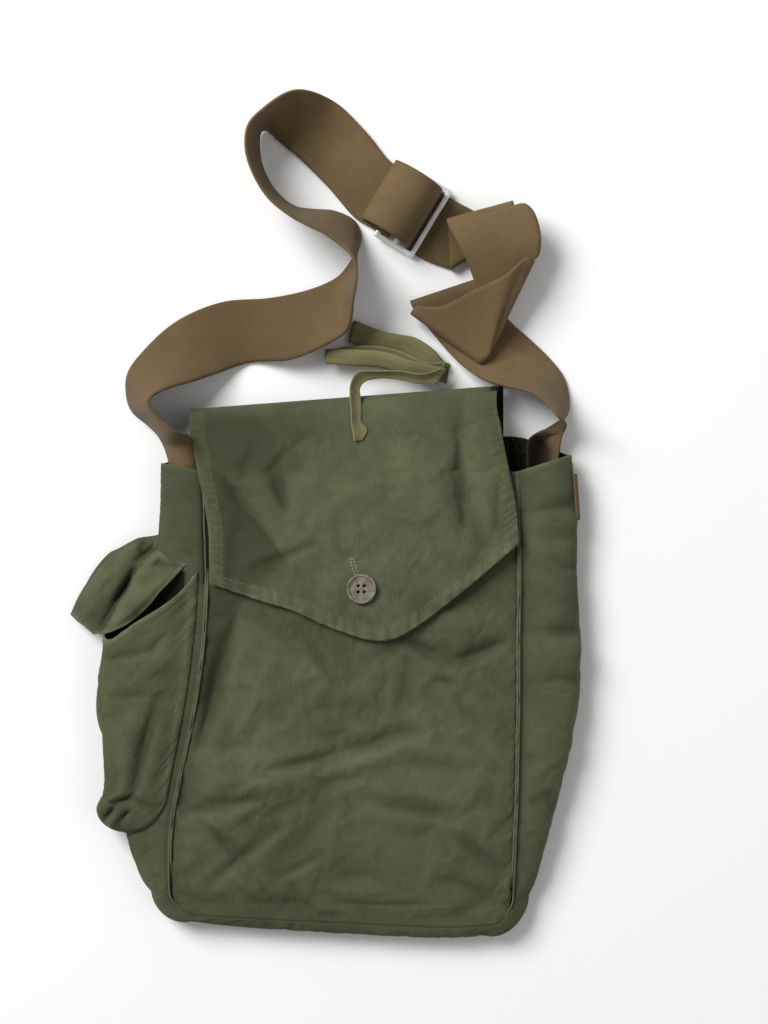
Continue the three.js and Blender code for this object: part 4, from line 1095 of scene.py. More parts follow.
def makeButtonhole():           # the slit above the button is sewn round with pale thread
    values = buttonhole
    turn = np.linspace(values["from"], 2 * math.pi + values["past"], values["places"])
    angle = math.radians(values["angle"])
    along, across = values["half"] * np.cos(turn), values["wide"] * np.sin(turn)
    x = values["x"] + along * math.cos(angle) - across * math.sin(angle)
    y = values["y"] + along * math.sin(angle) + across * math.cos(angle)
    z = np.array([topAt(flapTree, px, py) for px, py in zip(x, y)])
    place = np.stack([x, y, z], 1)
    upward = np.broadcast_to((0.0, 0.0, 1.0), place.shape)
    stitchRow("buttonholeStitches", place, upward, body["cloth"] / 2 + values["lift"], values["stitch"],
              paleThread)


flapStitches()
makeButtonhole()


# Button: a dished disc with a raised rim and four holes, seated on the flap

def selectFaces(piece, chosen):         # edit mode, faces picked by a test on centre and normal
    bpy.ops.object.mode_set(mode="OBJECT")
    for face in piece.data.polygons:
        face.select = chosen(face.center, face.normal)
    for part in list(piece.data.vertices) + list(piece.data.edges):
        part.select = False
    bpy.ops.object.mode_set(mode="EDIT")
    bpy.ops.mesh.select_mode(type="FACE")


def bevelEdges(piece, values):          # round the edges sharper than an angle
    edge = piece.modifiers.new("edge", "BEVEL")
    edge.width = values["edge"] * mm
    edge.segments = 3
    edge.limit_method = "ANGLE"
    edge.angle_limit = math.radians(values["sharp"])
    bpy.ops.object.modifier_apply(modifier=edge.name)
    bpy.ops.object.shade_smooth_by_angle(angle=math.radians(values["smooth"]))


def insetFaces(wide, raised=0.0):       # a smaller face in each picked face, moved up or down
    bpy.ops.mesh.inset(thickness=wide * mm)
    if raised:
        bpy.ops.transform.translate(value=(0, 0, raised * mm))


def makeButton():
    values = button
    bpy.ops.mesh.primitive_cylinder_add(vertices=values["sides"], radius=values["radius"] * mm,
                                        depth=values["thick"] * mm, location=(0, 0, values["thick"] * mm / 2))
    piece = bpy.context.object
    piece.name = "buttonDisc"
    bpy.ops.object.transform_apply(location=True, rotation=True, scale=True)
    rim = values["radius"] - values["rim"]
    selectFaces(piece, lambda centre, normal: normal.z > 0.9)
    insetFaces(rim * values["crest"])
    insetFaces(rim * (1 - values["crest"]), -values["dish"])
    insetFaces(values["rim"] * values["domeShare"], values["dome"])
    selectFaces(piece, lambda centre, normal: normal.z < -0.9)
    insetFaces(values["footIn"], -values["foot"])
    bpy.ops.object.mode_set(mode="OBJECT")
    off = values["spread"] * mm
    for x, y in ((off, off), (-off, off), (-off, -off), (off, -off)):
        bpy.ops.mesh.primitive_cylinder_add(vertices=values["holeSides"], radius=values["hole"] * mm,
                                            depth=values["drill"] * mm, location=(x, y, 0))
        drill = bpy.context.object
        activeOnly(piece)
        hole = piece.modifiers.new("hole", "BOOLEAN")
        hole.operation = "DIFFERENCE"
        hole.object = drill
        bpy.ops.object.modifier_apply(modifier=hole.name)
        bpy.data.objects.remove(drill)
    bevelEdges(piece, values)
    x, y, away = values["x"], values["y"], values["tiltAt"]
    fallX = topAt(flapTree, x - away, y) - topAt(flapTree, x + away, y)
    fallY = topAt(flapTree, x, y - away) - topAt(flapTree, x, y + away)
    up = Vector((fallX, fallY, 2 * away)).normalized()
    piece.data.transform(Vector((0, 0, 1)).rotation_difference(up).to_matrix().to_4x4())
    lift = body["cloth"] / 2 + values["seat"] + values["foot"]
    place = Vector((x, y, topAt(flapTree, x, y))) + up * lift
    piece.data.transform(Matrix.Translation(place * mm))
    dress(piece, horn, "button", "button")


makeButton()
print("button made")


# Sling: brown webbing, a ruling across it in each row. a and b are its edges from above, low its lower
# edge, and b stands above a by what the width leaves over, times side. At a fold turn is its climb.

slingColumns = "ax ay bx by low side curl turn slope"
slingStart = table(slingColumns,
                   (-101, 88, -89, 88, 8, 0.2, -7), (-104, 112, -87, 117, 9, 0.2, -7),
                   (-107.4, 126, -92, 133, 6, 0.5, -3), (-112, 135, -102, 137, 2, 1, -2),
                   (-119, 142, -112.5, 146, 1.2, 1),
                   (-128, 150, -118, 154, 1.2, 1), (-131, 161, -116, 158, 1.2, 1),
                   (-130, 172, -107, 163, 1.2, 1), (-120, 186, -93, 167, 1.2, 1),
                   (-101, 203, -80, 171, 1.2, 1), (-74, 215, -57, 178, 1.2, 1),
                   (-45, 217, -34, 180, 1.2, 1), (-21, 222, -16, 187, 1.2, 1), (-5, 229, 1, 198, 1.2, 1),
                   (1, 235, 5, 217, 1.2, 1), (6, 243, 7, 235, 1.2, 1), (9.5, 253, 3, 244, 1.2, 1),
                   (5.5, 263, -2.5, 249, 1.2, 1), (-6.5, 269, -12, 256, 1.2, 1),
                   (-18.5, 270, -21.5, 260.5, 1.2, 1), (-30.5, 272, -32.5, 266.5, 1.2, 1),
                   (-41.5, 281, -45.5, 277, 1.2, 1), (-49, 294, -55, 292, 1.2, 1),
                   (-51.5, 307, -59.5, 307, 1.2, 1), (-50.5, 317, -58, 321, 1.2, 1),
                   (-47, 318, -50, 330, 1.2, 1), (-39, 311, -29.5, 342, 1.2, 1),
                   (-28, 300, -6, 336, 2.6, 1), (-11, 283, 13.5, 317.5, 2, 1))
slingEnd = table(slingColumns,
                 (63, 234.5, 101, 257.5, 1.9, 1, 0, 5, 0), (61.8, 259.1, 101.7, 270, 7, 1, 0, 9, 3),
                 (62.4, 260, 107, 274, 18, 1, 0, 0, 3), (64.8, 255.6, 112, 271, 20, 1, 0, 0, 2),
                 (67.8, 250, 115.2, 265.2, 20.5, 1, 0, 0, 2), (71.4, 243, 117.3, 257, 19.5, 1, 0, 0, 3),
                 (75.6, 232.8, 117.6, 249, 16, 1, 0, 0, 6), (81, 213, 115.8, 242.6, 11, 1, 0, 0, 9),
                 (83.4, 187.5, 108.8, 240.8, 6, 1, 0, 9, 12), (86.5, 183, 97, 231.5, 15, 1, 0, 0, 14),
                 (86, 182, 78, 222.5, 15, 1, 0, 0, 10), (85.5, 181, 57, 212, 15, 1, 0, 0, 4),
                 (84.5, 181, 42, 212, 15, 1, 0, -8.6, 0), (82, 227, 40, 213, 6.2, 1, 0, -4.8, 0),
                 (97, 205, 67, 180, 1.2, 1), (111, 192, 82, 169, 1.2, 1), (123, 180, 98, 164, 1.2, 1),
                 (131, 169, 113, 160, 1.2, 1), (134, 157, 123, 152, 1.2, 1), (133, 147, 128, 146, 1.6, 1),
                 (126, 141.5, 132.5, 141.5, 4, 0.5, -2), (117, 137, 131.5, 138.5, 11, 0.1, -7),
                 (110, 131, 129.5, 133, 13, 0, -9), (110, 112, 127, 112, 13, 0, -10),
                 (111, 88, 126, 88, 13, 0, -10))
slideValues = {"x": 51, "y": 261, "heading": -31.3, "long": 47, "bar": 3.2, "slot": 8.8, "thick": 2.4,
               "lift": 3, "corner": 2.2, "cornerSteps": 5,
               "edge": 0.75, "sharp": 40, "smooth": 50}
slidePitch = slideValues["slot"] + slideValues["bar"]
slingLoop = table("along height", (-16, 1.2), (-6, 1.3), (3, 1.7), (6.6, 4.2), (5, 8.6), (-3, 10.4),
                  (-10, 14), (-11.5, 20), (-6, 26.5), (3, 29.5), (12, 27), (18.4, 19), (19.6, 10),
                  (18.6, 4.4), (21, 2),
                  (25, 1.6), (32, 1.7))
slingShade = table("x y wide high below amount",      # in the folds, and where it turns from the light
                   (66, 252, 5, 12, 12, 0.9), (62, 216, 22, 7, 12, 0.8), (54, 197, 10, 14, 7, 0.6),
                   (100, 186, 9, 14, 6, 0.45), (-112, 165, 20, 40, 50, 0.35), (-60, 190, 90, 60, 50, 0.8),
                   (-52, 290, 14, 50, 50, 0.3))
slingValues = {"width": 40, "thick": 1.5, "strips": 16, "step": 1.9, "edgeWear": 0.15, "edgeWide": 0.03,
               "right": (60, 70), "mouthLeft": (112, 138), "mouthRight": (124, 148), "foldMost": 0.7,
               "mouthShade": 0.35, "rightShade": 0.35, "rightEdge": 0.9}
ribbonSteps = {"perLine": 24, "fold": (0, 0.25, 0.5, 0.75, 1)}        # between rulings, and round a fold


def ruling(row, width):
    a, b = np.array([row["ax"], row["ay"]]), np.array([row["bx"], row["by"]])
    middle, half = (a + b) / 2, (b - a) / 2
    folded = row["turn"] != 0 or row["slope"] != 0
    if not folded and np.linalg.norm(half) > width / 2:
        half *= width / 2 / np.linalg.norm(half)
    upright = math.sqrt(max(width ** 2 - 4 * float(half @ half), 0))
    rise = row["slope"] if folded else row["side"] * upright
    a, b = middle - half, middle + half
    return seen(a[0], a[1], row["low"]), seen(b[0], b[1], row["low"] + rise), row["curl"]


def rulings(rows, width):       # a fold becomes a half round of rulings
    lines = []
    for i, row in enumerate(rows):
        a, b, curl = ruling(row, width)
        if row["turn"] == 0:
            lines.append((a, b, curl))
            continue
        before = rows[max(i - 1, 0)]
        heading = np.array([row["ax"] + row["bx"] - before["ax"] - before["bx"],
                            row["ay"] + row["by"] - before["ay"] - before["by"], 0])
        across = (b - a) * (1, 1, 0)
        across /= np.linalg.norm(across)
        out = heading - across * (heading @ across)
        out /= max(np.linalg.norm(out), 1e-9)
        for share in ribbonSteps["fold"]:
            shift = out * abs(row["turn"]) / 2 * math.sin(math.pi * share)
            shift = shift + np.array([0, 0, row["turn"] / 2 * (1 - math.cos(math.pi * share))])
            lines.append((a + shift, b + shift, 0.0))
    return lines


def smoothTrack(points, perLine):       # centripetal curve through the points
    points = np.array(points)
    full = np.vstack([2 * points[0] - points[1], points, 2 * points[-1] - points[-2]])
    t = np.linspace(0, 1, perLine, endpoint=False)[:, None]
    track = []
    for k in range(len(points) - 1):
        p0, p1, p2, p3 = full[k:k + 4]
        pairs = (p0, p1), (p1, p2), (p2, p3)
        d0, d1, d2 = (max(float(((q - p) ** 2).sum()) ** 0.25, 1e-4) for p, q in pairs)
        m1 = ((p1 - p0) / d0 - (p2 - p0) / (d0 + d1) + (p2 - p1) / d1) * d1
        m2 = ((p2 - p1) / d1 - (p3 - p1) / (d1 + d2) + (p3 - p2) / d2) * d1
        square, cube = 3 * (p2 - p1) - 2 * m1 - m2, 2 * (p1 - p2) + m1 + m2
        track.append(p1 + m1 * t + square * t ** 2 + cube * t ** 3)
    return np.vstack(track + [points[-1:]])


def ribbonPoints(lines, values, cup=0.0):       # the ribbon, its flat map and its length
    perLine = ribbonSteps["perLine"]
    a, b = (smoothTrack([line[side] for line in lines], perLine) for side in (0, 1))
    curl = np.interp(np.arange(len(a)) / perLine, np.arange(len(lines)), [line[2] for line in lines]) + cup
    far = alongTrack((a + b) / 2)
    even = np.linspace(0, far[-1], int(far[-1] / values["step"]) + 1)
    a, b = (np.stack([np.interp(even, far, track[:, k]) for k in range(3)], 1) for track in (a, b))
    curl = np.interp(even, far, curl)
    normal = np.cross(np.gradient(a + b, axis=0), b - a)
    normal /= np.linalg.norm(normal, axis=1, keepdims=True)
    v = np.linspace(0, 1, values["strips"] + 1)
    bow = (curl[:, None] * 4 * v * (1 - v))[..., None]
    flatLong = mix(alongTrack(a)[:, None], alongTrack(b)[:, None], v)
    flat = np.stack(np.broadcast_arrays(flatLong, v * values["width"]), -1)
    points = mix(a[:, None], b[:, None], v[None, :, None]) + normal[:, None] * bow
    return points, flat, float(far[-1])


def slingLines():
    heading = math.radians(slideValues["heading"])
    run = np.array([math.cos(heading), math.sin(heading)])
    side = np.array([-run[1], run[0]]) * slingValues["width"] / 2
    loop = []
    for row in rowsOf(slingLoop):
        place = np.array([slideValues["x"], slideValues["y"]]) + run * (row["along"] - 2 * slidePitch)
        loop.append((np.append(place - side, row["height"]), np.append(place + side, row["height"]), 0.0))
    width = slingValues["width"]
    return rulings(rowsOf(slingStart), width) + loop + rulings(rowsOf(slingEnd), width)


def makeSling():
    values = slingValues
    points, flat, length = ribbonPoints(slingLines(), values)
    piece = newSheet("slingWeb", points, flat)
    v = np.linspace(0, 1, values["strips"] + 1)
    edge = values["edgeWear"] * bell(np.minimum(v, 1 - v), 0, values["edgeWide"])
    mark(piece, "wearAndHighlight", np.broadcast_to(edge, points.shape[:2]))
    x, y, z = np.moveaxis(points, -1, 0)
    onRight = ease(x, *values["right"])
    inMouth = 1 - ease(y, *(mix(*ends, onRight) for ends in zip(values["mouthLeft"], values["mouthRight"])))
    soilAndShade = 0 * inMouth
    for fold in rowsOf(slingShade):
        off = np.hypot((x - fold["x"]) / fold["wide"], (y - fold["y"]) / fold["high"])
        soilAndShade = soilAndShade + fold["amount"] * bell(off, 0, 1) * (z < fold["below"])
    # painted shade where it goes into the mouths, darkest on the right
    mouthShade = values["mouthShade"] + onRight * (values["rightShade"] + values["rightEdge"] * (1 - v))
    mark(piece, "soilAndShade", np.clip(np.minimum(soilAndShade, values["foldMost"]) + inMouth * mouthShade, 0, 1))
    thicken(piece, values["thick"])
    dress(piece, webMat, "webbing", "sling")
    round(length * mm, 3)
    print("  sling", round(length), "mm long")


makeSling()
print("sling made")


# Slide: a flat steel frame with two slots

def makeSlide():
    values = slideValues
    wide = 3 * values["bar"] + 2 * values["slot"]
    bpy.ops.mesh.primitive_grid_add(x_subdivisions=5, y_subdivisions=3, size=1)
    piece = bpy.context.object
    piece.name = "slidePlate"
    columns = [-wide / 2, values["bar"] - wide / 2, -values["bar"] / 2, values["bar"] / 2,
               wide / 2 - values["bar"], wide / 2]
    end = values["long"] / 2
    rows = [-end, values["bar"] - end, end - values["bar"], end]
    xs = sorted({round(v.co.x, 4) for v in piece.data.vertices})
    ys = sorted({round(v.co.y, 4) for v in piece.data.vertices})
    for v in piece.data.vertices:
        v.co = (columns[xs.index(round(v.co.x, 4))] * mm, rows[ys.index(round(v.co.y, 4))] * mm, 0)
    inner, bar, slot = rows[2] * mm, values["bar"] * mm, slidePitch / 2 * mm
    selectFaces(piece, lambda c, n: abs(c.y) < inner and abs(abs(c.x) - slot) < bar)
    bpy.ops.mesh.delete(type="FACE")
    bpy.ops.mesh.select_mode(type="VERT")
    bpy.ops.object.mode_set(mode="OBJECT")
    for v in piece.data.vertices:
        v.select = abs(abs(v.co.x) - wide / 2 * mm) < 1e-6 and abs(abs(v.co.y) - end * mm) < 1e-6
    bpy.ops.object.mode_set(mode="EDIT")
    bpy.ops.mesh.bevel(offset=values["corner"] * mm, segments=values["cornerSteps"], affect="VERTICES")
    bpy.ops.object.mode_set(mode="OBJECT")
    activeOnly(piece)
    plate = piece.modifiers.new("plate", "SOLIDIFY")
    plate.thickness = values["thick"] * mm
    plate.offset = 0
    bpy.ops.object.modifier_apply(modifier=plate.name)
    bevelEdges(piece, values)
    heading = math.radians(values["heading"])
    piece.rotation_euler = (0, 0, heading)
    piece.location = ((values["x"] - math.cos(heading) * slidePitch) * mm,
                      (values["y"] - math.sin(heading) * slidePitch) * mm,
                      (values["lift"] + values["thick"] / 2) * mm)
    bpy.ops.object.transform_apply(location=True, rotation=True, scale=True)
    dress(piece, steel, "steel", "slide")


makeSlide()
print("slide made")


# Tie tape: a loose hank, then its tail over the flap's fold

tieHank = table(slingColumns,
                (61, 166, 63, 178, 0.9, 1), (47, 170.5, 51.4, 181.4, 0.9, 0.4),
                (34.5, 177, 40.2, 187.6, 1.2, 0.4), (22.5, 183.8, 28, 194.4, 1.2, 0.4),
                (4.2, 190.2, 7.2, 203, 1.2, 1, 0, 3.4, 0),
                (16.8, 187, 19.6, 198, 5.2, 0.3), (26.2, 186.4, 31.2, 195.6, 6, 0.5),
                (36.4, 183.4, 42.2, 193.4, 6, 0.5), (46.4, 176.6, 53, 186.4, 6, 0.5),
                (54.5, 168, 60, 178.6, 4.8, 1, 0, 3.4, 0), (44, 169.6, 48.2, 178.6, 8.8, 0.4),
                (31, 174.8, 35, 184.8, 8.6, 0.4), (19.5, 177.8, 21.5, 188.2, 8.4, 0.4),
                (3, 177.6, 3, 188.2, 8.4, 0.3), (-9, 177.6, -9.6, 186.3, 8.4, 1, 0, 3.4, 0),
                (4.2, 176.6, 4.8, 186.4, 12.2, 0.3), (21, 175.6, 24, 184.8, 12.2, 0.3),
                (35.5, 171.6, 39.8, 179.6, 12.2, 0.4), (54, 166, 59.5, 175, 12, 1, 0, 3.4, 0),
                (45, 165.6, 46.8, 171.6, 16.5, 0.4), (33, 168, 33, 173.4, 16.8, 0.4),
                (21, 168.9, 19.8, 173.4, 17, 0.4), (12, 166.8, 7.8, 172.8, 18, 0.4),
                (9, 162.6, 3.6, 166.2, 20, 0.3), (9.5, 157.5, 3, 158.5, 20.4, 0.3))
tieTail = table(slingColumns, (10, 149, 3.6, 149, 0, 0.3), (9.8, 143.5, 3.8, 142.5, 0, 0.3),
                (13.4, 138, 4.6, 137, 0.4, 0.3), (10.4, 131.6, 5.6, 131.2, 0, 0.3))
tieValues = {"width": 12, "thick": 0.7, "strips": 8, "step": 1.1, "seat": 0.3, "cup": 0.9, "ground": 0.05,
             "edgeWide": 0.08, "middleDarker": 0.5, "lineWide": 0.12}


def makeTie():
    values = tieValues
    tail = rowsOf(tieTail)
    above = (body["cloth"] + values["thick"]) / 2 + values["seat"]
    for row in tail:
        row["low"] += topAt(flapTree, row["ax"], row["ay"]) + above
    lines = rulings(rowsOf(tieHank) + tail, values["width"])
    points, flat, length = ribbonPoints(lines, values, values["cup"])
    points[..., 2] = np.maximum(points[..., 2], values["thick"] / 2 + values["ground"])
    piece = newSheet("tieTape", points, flat)
    v = np.linspace(0, 1, values["strips"] + 1)
    edge, line = bell(np.minimum(v, 1 - v), 0, values["edgeWide"]), bell(v, 0.5, values["lineWide"])
    mark(piece, "wearAndHighlight", np.broadcast_to(edge, points.shape[:2]))
    mark(piece, "soilAndShade", np.broadcast_to(values["middleDarker"] * line, points.shape[:2]))
    thicken(piece, values["thick"])
    dress(piece, tapeMat, "tape", "tie_tape")
    round(length * mm, 3)
    print("  tie tape", round(length), "mm long")


makeTie()
print("tie tape made")


# Side pocket on the left gusset, its mouth gaping

pocketEdge = table("across top foot", (0, 53, -84), (0.04, 44, -92), (0.1, 35, -97), (0.2, 25.5, -101),
                   (0.3, 18.5, -102), (0.42, 13, -103), (0.6, 16, -102), (0.8, 24, -100), (1, 34, -97))
pocketBulge = table("y amount", (53, 22), (20, 23.5), (-5, 22.5), (-30, 19), (-50, 13.5), (-68, 11),
                    (-80, 13), (-92, 17.5), (-104, 19))
pocketFolds = table("x y angle length width depth",      # where they show from above
                    (-120, -50, 75, 38, 3.6, -4.8), (-127, -76, 70, 14, 3.4, -3.4),
                    (-129, -48, 78, 38, 6, 2.4), (-111, -50, 77, 42, 4, 1.2),
                    (-128, 4, 14, 22, 4, -2.6), (-112, 12, 40, 14, 3.4, -2),
                    (-128, -21, 0, 20, 4, -1.2), (-142, -92, 61, 9, 2.4, -4), (-134, -84, 17, 11, 2.4, -4.4),
                    (-121, -87, -32, 12, 2.4, -4), (-132, -93, 45, 6, 1.8, -3.2), (-138, -95, 60, 7, 2.4, 3))
pocketValues = {     # a pair is where something begins and where it is full
    "across": 64, "down": 118, "frontSeam": 0.04, "backSeam": 0.72, "foot": 0.84, "round": 0.8,
    "pucker": 1.6, "puckerAcross": 9, "puckerDown": 5, "flatLong": 150, "swell": 0.02, "cap": 1.6,
    "facing": (0.05, 0.4), "foldSide": 0.08, "foldFoot": 0.96,
    "heldSide": 0.01, "heldFoot": 0.97, "held": 0.05,
    "upper": 0.45, "ground": 0.2, "hem": 5, "hemSoft": 1, "hemStep": 0.6, "rimWear": 0.6, "rimWide": 1.6,
    "hemWear": 0.35, "seamWear": 0.4, "seamWide": 0.02, "seamShade": 0.3, "seamAt": 0.06, "seamShadeWide": 0.03,
    "backShade": 0.3, "backFrom": 0.6, "rimShade": 0.35, "rimAt": 11, "belowWide": 5,
    "hollowShade": 0.45, "reach": 4, "hollowMost": 1.4, "soilAndShadeMost": 0.9,
    "tuckX": -133.5, "tuckY": -90, "tuckWide": 5, "tuckShade": 0.6,
    "sewn": 0.022, "sewnFrom": 0.03, "sewnTo": 0.93, "sewnPlaces": 160, "stitchLift": 0.05,
}


def pocketPoints(across, down):
    values = pocketValues
    y = mix(read(pocketEdge, "across", "top", across), read(pocketEdge, "across", "foot", across), down)
    place = mix(values["frontSeam"], values["backSeam"], across)
    points = offGusset(leftAt(y), place, body["cloth"] + body["seamGap"])
    foot = np.maximum(down - values["foot"], 0) / (1 - values["foot"])
    closing = np.sqrt(np.maximum(1 - foot ** 2, 0))
    arch = np.maximum(np.sin(math.pi * across), 0)
    wave = np.maximum(np.sin(values["puckerAcross"] * across + values["puckerDown"] * down), 0)
    points[..., 0] -= closing * (read(pocketBulge, "y", "amount", y) * arch ** values["round"]
                                 + arch * values["pucker"] * wave)
    return points


def makePocket():
    values = pocketValues
    a, d = grid(values["across"], values["down"])
    points = pocketPoints(a, d)
    out = np.cross(np.gradient(points, axis=0), np.gradient(points, axis=1))
    out /= np.maximum(np.linalg.norm(out, axis=-1, keepdims=True), 1e-9)
    dent = foldHeight(pocketFolds, *fromAbove(points)) * ease(out[..., 2], *values["facing"])
    dent = dent * ease(a, 0, values["foldSide"]) * (1 - ease(d, values["foldFoot"], 1.0))
    fromRim = d * values["flatLong"]
    border = 1 - ease(fromRim, values["hem"] - values["hemSoft"], values["hem"] + values["hemSoft"])
    dent = dent + values["hemStep"] * border
    points = points + out * dent[..., None]
    piece = newSheet("sidePocket", points)
    seam = (np.minimum(a, 1 - a) < values["heldSide"]) | (d > values["heldFoot"])
    points = settle(piece, points.shape, np.maximum(seam, values["held"]), values["swell"], values["cap"])
    onTop = (a < values["upper"])[..., None]        # its upper half stays clear of the gusset it lies on
    points = np.where(onTop, keepAbove(points, gussetTree, body["cloth"] + body["seamGap"]), points)
    points[..., 2] = np.maximum(points[..., 2], body["cloth"] / 2 + values["ground"])
    setPoints(piece, points)
    rim = bell(fromRim, 0, values["rimWide"]) + values["hemWear"] * border
    seamWear = values["seamWear"] * bell(a, 0, values["seamWide"])
    mark(piece, "wearAndHighlight", np.clip(values["rimWear"] * rim + seamWear, 0, 1))
    # painted shade: beside its sewn edge, on the back half that turns under, below the rim's hem, in the
    # hollows and in the tucked cavity at its foot
    soilAndShade = values["seamShade"] * bell(a, values["seamAt"], values["seamShadeWide"])
    soilAndShade = soilAndShade + values["backShade"] * ease(a, values["backFrom"], 1)
    soilAndShade = soilAndShade + values["rimShade"] * bell(fromRim, values["rimAt"], values["belowWide"])
    soilAndShade = soilAndShade + values["hollowShade"] * np.clip(hollows(points, values["reach"]), 0, values["hollowMost"])
    shownX, shownY = fromAbove(points)
    tuck = np.hypot(shownX - values["tuckX"], shownY - values["tuckY"])
    soilAndShade = soilAndShade + values["tuckShade"] * bell(tuck, 0, values["tuckWide"])
    mark(piece, "soilAndShade", np.clip(soilAndShade, 0, values["soilAndShadeMost"]))
    thicken(piece, body["cloth"])
    dress(piece, canvas, "canvas", "side_pocket", inside=shadeLining)
    down = np.linspace(values["sewnFrom"], values["sewnTo"], values["sewnPlaces"])
    place, normal = onGrid(points, np.full(len(down), values["sewn"]), down)
    stitchRow("pocketStitches", place, normal, body["cloth"] / 2 + values["stitchLift"])


makePocket()
print("side pocket made")


# Pocket flap, thrown open and crumpled

pocketFlapRows = table("along fx fy fz bx by bz", (0, -101, 55, 29, -116, 74.5, 10),
                       (0.25, -112, 39, 28, -125, 73.5, 8), (0.5, -126, 25, 24, -139.5, 64.5, 4.5),
                       (0.75, -140, 18, 18, -152, 50.5, 2.4), (1, -150, 16, 12, -164, 28, 2))
pocketFlapFolds = table("x y angle length width depth",      # where they show from above
                        (-132, 42.5, 53, 13, 2.2, -5), (-119.5, 52, 4, 12, 3.6, 3), (-126, 33, 40, 30, 5, 3),
                        (-118, 64, 35, 13, 3.4, -5), (-121.5, 68, 70, 6, 2.6, -2),
                        (-150, 32, 50, 15, 5, -2.4),
                        (-143, 52, 48, 28, 7, 2.4), (-106.5, 61, -40, 8, 3, 3), (-112, 57, 60, 6, 2, -2.4))
pocketFlapValues = {     # a pair is where something begins and where it is full
    "across": 60, "along": 80, "flatWide": 48, "flatLong": 66, "swell": 0.02, "cap": 1.2, "bend": 0.4,
    "rootY": (57, 75), "rootShare": (0.1, 0.62), "rootLift": 0.7, "rootTo": 0.25,
    "puff": 3, "puffed": (0.1, 0.4),
    "folded": (0.02, 0.1), "foldSide": 0.12, "rootHeld": 0.06, "held": 0.03, "ground": 0.3,
    "turnX": -145, "turnY": 17, "turnAngle": 59.5, "turnTop": 55.3, "turnSoft": 0.9, "turned": (0.06, 0.16),
    "turnStep": 3.2, "turnValley": 3.4, "valleyAt": -2.2, "valleyWide": 2.6, "valleyEnd": (40, 46),
    "valleyStart": (-4, 4), "edgeWear": 0.6, "edgeWide": 1.6, "soilAndShade": 0.1,
    "spotShade": 0.75, "spotX": -121.5, "spotY": 67.5, "spotSize": 14,
    "shadeSoil": 0.5, "shadeAt": -5, "shadeWide": 4.5, "shadeFrom": (-6, 8),
    "hollowShade": 0.45, "reach": 5, "hollowMost": 1.6,
    "slitAt": -0.6, "slitWide": 1.3, "slitStart": (20, 25), "slitEnd": (32, 37),
}
pocketFlapRipples = table("high across along", (2.4, 7, 4), (1.4, 5, -11))


def turnedOver(points):         # how far places lie beyond the fold's line, under its top and along it
    values = pocketFlapValues
    x, y = fromAbove(points)
    turn = math.radians(values["turnAngle"])
    dx, dy = x - values["turnX"], y - values["turnY"]
    return (dx * math.sin(turn) - dy * math.cos(turn), values["turnTop"] - y,
            dx * math.cos(turn) + dy * math.sin(turn))


def makePocketFlap():
    values = pocketFlapValues
    c, t = grid(values["across"], values["along"])
    front = seen(*(read(pocketFlapRows, "along", name, t) for name in ("fx", "fy", "fz")))
    back = seen(*(read(pocketFlapRows, "along", name, t) for name in ("bx", "by", "bz")))
    root = offGusset(leftAt(mix(*values["rootY"], c)), mix(*values["rootShare"], c),
                     body["cloth"] * values["rootLift"])
    points = mix(root, mix(front, back, c[..., None]), ease(t, 0, values["rootTo"])[..., None])
    ripple = values["puff"]
    for row in rowsOf(pocketFlapRipples):
        ripple = ripple + row["high"] * np.sin(row["across"] * c + row["along"] * t)
    points[..., 2] += np.sin(math.pi * c) * ripple * ease(t, *values["puffed"])
    folds = foldHeight(pocketFlapFolds, *fromAbove(points))
    points[..., 2] += folds * ease(t, *values["folded"]) * ease(np.minimum(c, 1 - c), 0, values["foldSide"])
    # its lower edge is folded over: a raised strip beyond a line, with a valley before it
    beyond, top, down = turnedOver(points)
    soft = values["turnSoft"]
    folded = ease(beyond, -soft, soft) * ease(top, -soft, soft)
    valley = bell(beyond, values["valleyAt"], values["valleyWide"])
    valley = valley * (1 - ease(down, *values["valleyEnd"])) * ease(down, *values["valleyStart"])
    relief = values["turnStep"] * folded - values["turnValley"] * valley
    points[..., 2] += relief * ease(t, *values["turned"])
    points = points[::-1]
    piece = newSheet("pocketFlap", points)
    held = np.maximum(t < values["rootHeld"], values["held"])
    points = settle(piece, points.shape, held[::-1], values["swell"], values["cap"], values["bend"])
    points[..., 2] = np.maximum(points[..., 2], body["cloth"] / 2 + values["ground"])
    setPoints(piece, points)
    edge = np.minimum.reduce([c * values["flatWide"], (1 - c) * values["flatWide"],
                              (1 - t) * values["flatLong"]])[::-1]
    mark(piece, "wearAndHighlight", values["edgeWear"] * bell(edge, 0, values["edgeWide"]))
    x, y = fromAbove(points)
    # painted shade: a spot in the pit by the root, the slope before the turned-over edge, the hollows, and
    # black in the slit along the fold
    shadeSpot = np.exp(-((x - values["spotX"]) ** 2 + (y - values["spotY"]) ** 2) / values["spotSize"])
    beyond, top, down = turnedOver(points)
    shaded = bell(beyond, values["shadeAt"], values["shadeWide"]) * (beyond < 0)
    shaded = shaded * ease(down, *values["shadeFrom"])
    soilAndShade = values["soilAndShade"] + values["spotShade"] * shadeSpot + values["shadeSoil"] * shaded
    soilAndShade = soilAndShade + values["hollowShade"] * np.clip(hollows(points, values["reach"]), 0, values["hollowMost"])
    slit = bell(beyond, values["slitAt"], values["slitWide"]) * ease(down, *values["slitStart"])
    slit = slit * (1 - ease(down, *values["slitEnd"]))
    mark(piece, "soilAndShade", np.maximum(np.clip(soilAndShade, 0, soilAndShadeMost), slit))
    thicken(piece, body["cloth"])
    dress(piece, canvas, "canvas", "pocket_flap")


makePocketFlap()
print("pocket flap made")


# Side tab: a short strip of webbing on the right gusset

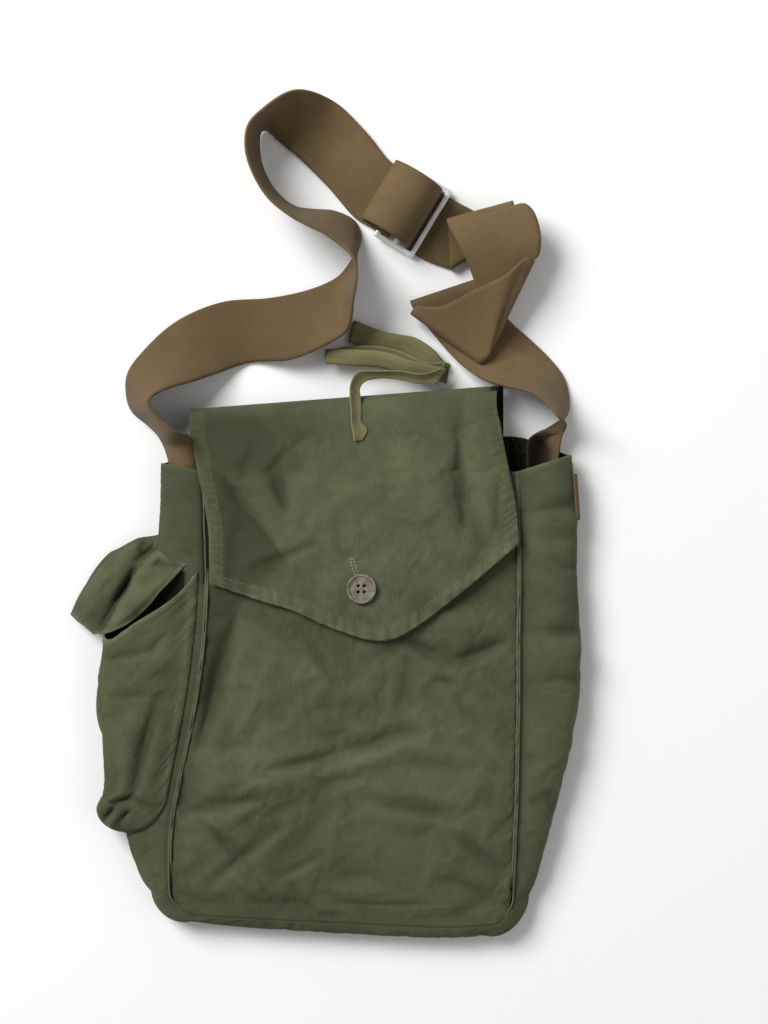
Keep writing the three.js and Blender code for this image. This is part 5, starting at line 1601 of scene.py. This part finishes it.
tabValues = {"from": 82, "to": 103, "front": 0.4, "back": 0.6, "thick": 1.5, "solid": 1.6, "along": 14,
             "across": 10, "edgeWear": 0.3, "edgeWide": 0.12, "soilAndShade": 0.65}


def makeTab():
    values = tabValues
    u, v = grid(values["along"], values["across"])
    along = rightAt(mix(values["from"], values["to"], u))
    lift = (body["canvas"] + values["solid"]) / 2 + body["stitchGap"]
    points = offGusset(along, mix(values["front"], values["back"], v), lift)
    piece = newSheet("sideTab", points[::-1])
    mark(piece, "wearAndHighlight", values["edgeWear"] * bell(np.minimum(v, 1 - v), 0, values["edgeWide"]))
    mark(piece, "soilAndShade", np.full(v.shape, values["soilAndShade"]))
    thicken(piece, values["thick"])
    dress(piece, webMat, "webbing", "side_tab")


makeTab()
print("side tab made")


# Floor, light and camera

stageValues = {
    "floor": (0.9, 0.9, 0.9, 1), "floorSize": 8, "floorZ": -0.0004, "floorRough": 0.9, "floorShine": 0.1,
    "sky": 0.29, "target": (0.0, 0.08, 0.0), "sensor": 24, "frameHigh": 0.6144, "view": (0.0234, 0.0888),
    "lamps": (("key", (-1.6, 1.5, 2.1), 1.5, 104), ("fill", (1.1, -0.3, 1.2), 1.4, 4)),   # place, size, power
}


def makeStage():
    values = stageValues
    bpy.ops.mesh.primitive_plane_add(size=values["floorSize"], location=(0, 0, values["floorZ"]))
    floor = bpy.context.object
    floor.name = "floor"
    paint = Paint("paleFloor")
    paint.put(Base_Color=values["floor"], Roughness=values["floorRough"],
              Specular_IOR_Level=values["floorShine"])
    floor.data.materials.append(paint.material)
    world = bpy.data.worlds.new("studio")
    scene.world = world
    world.use_nodes = True
    sky = world.node_tree.nodes["Background"].inputs
    sky[0].default_value = (1, 1, 1, 1)
    sky[1].default_value = values["sky"]
    target = Vector(values["target"])
    for name, place, size, power in values["lamps"]:
        light = bpy.data.lights.new(name, "AREA")
        light.size = size
        light.energy = power
        lamp = bpy.data.objects.new(name, light)
        lamp.location = place
        lamp.rotation_euler = (target - Vector(place)).to_track_quat("-Z", "Y").to_euler()
        scene.collection.objects.link(lamp)
    camera = bpy.data.cameras.new("camera")
    camera.sensor_fit = "VERTICAL"
    camera.sensor_height = values["sensor"]
    camera.lens = values["sensor"] * eye[2] * mm / values["frameHigh"]
    view = bpy.data.objects.new("camera", camera)
    view.location = (*values["view"], eye[2] * mm)
    scene.collection.objects.link(view)
    scene.camera = view
    scene.view_settings.view_transform = "Standard"
    scene.view_settings.look = "None"


makeStage()
print("stage made")
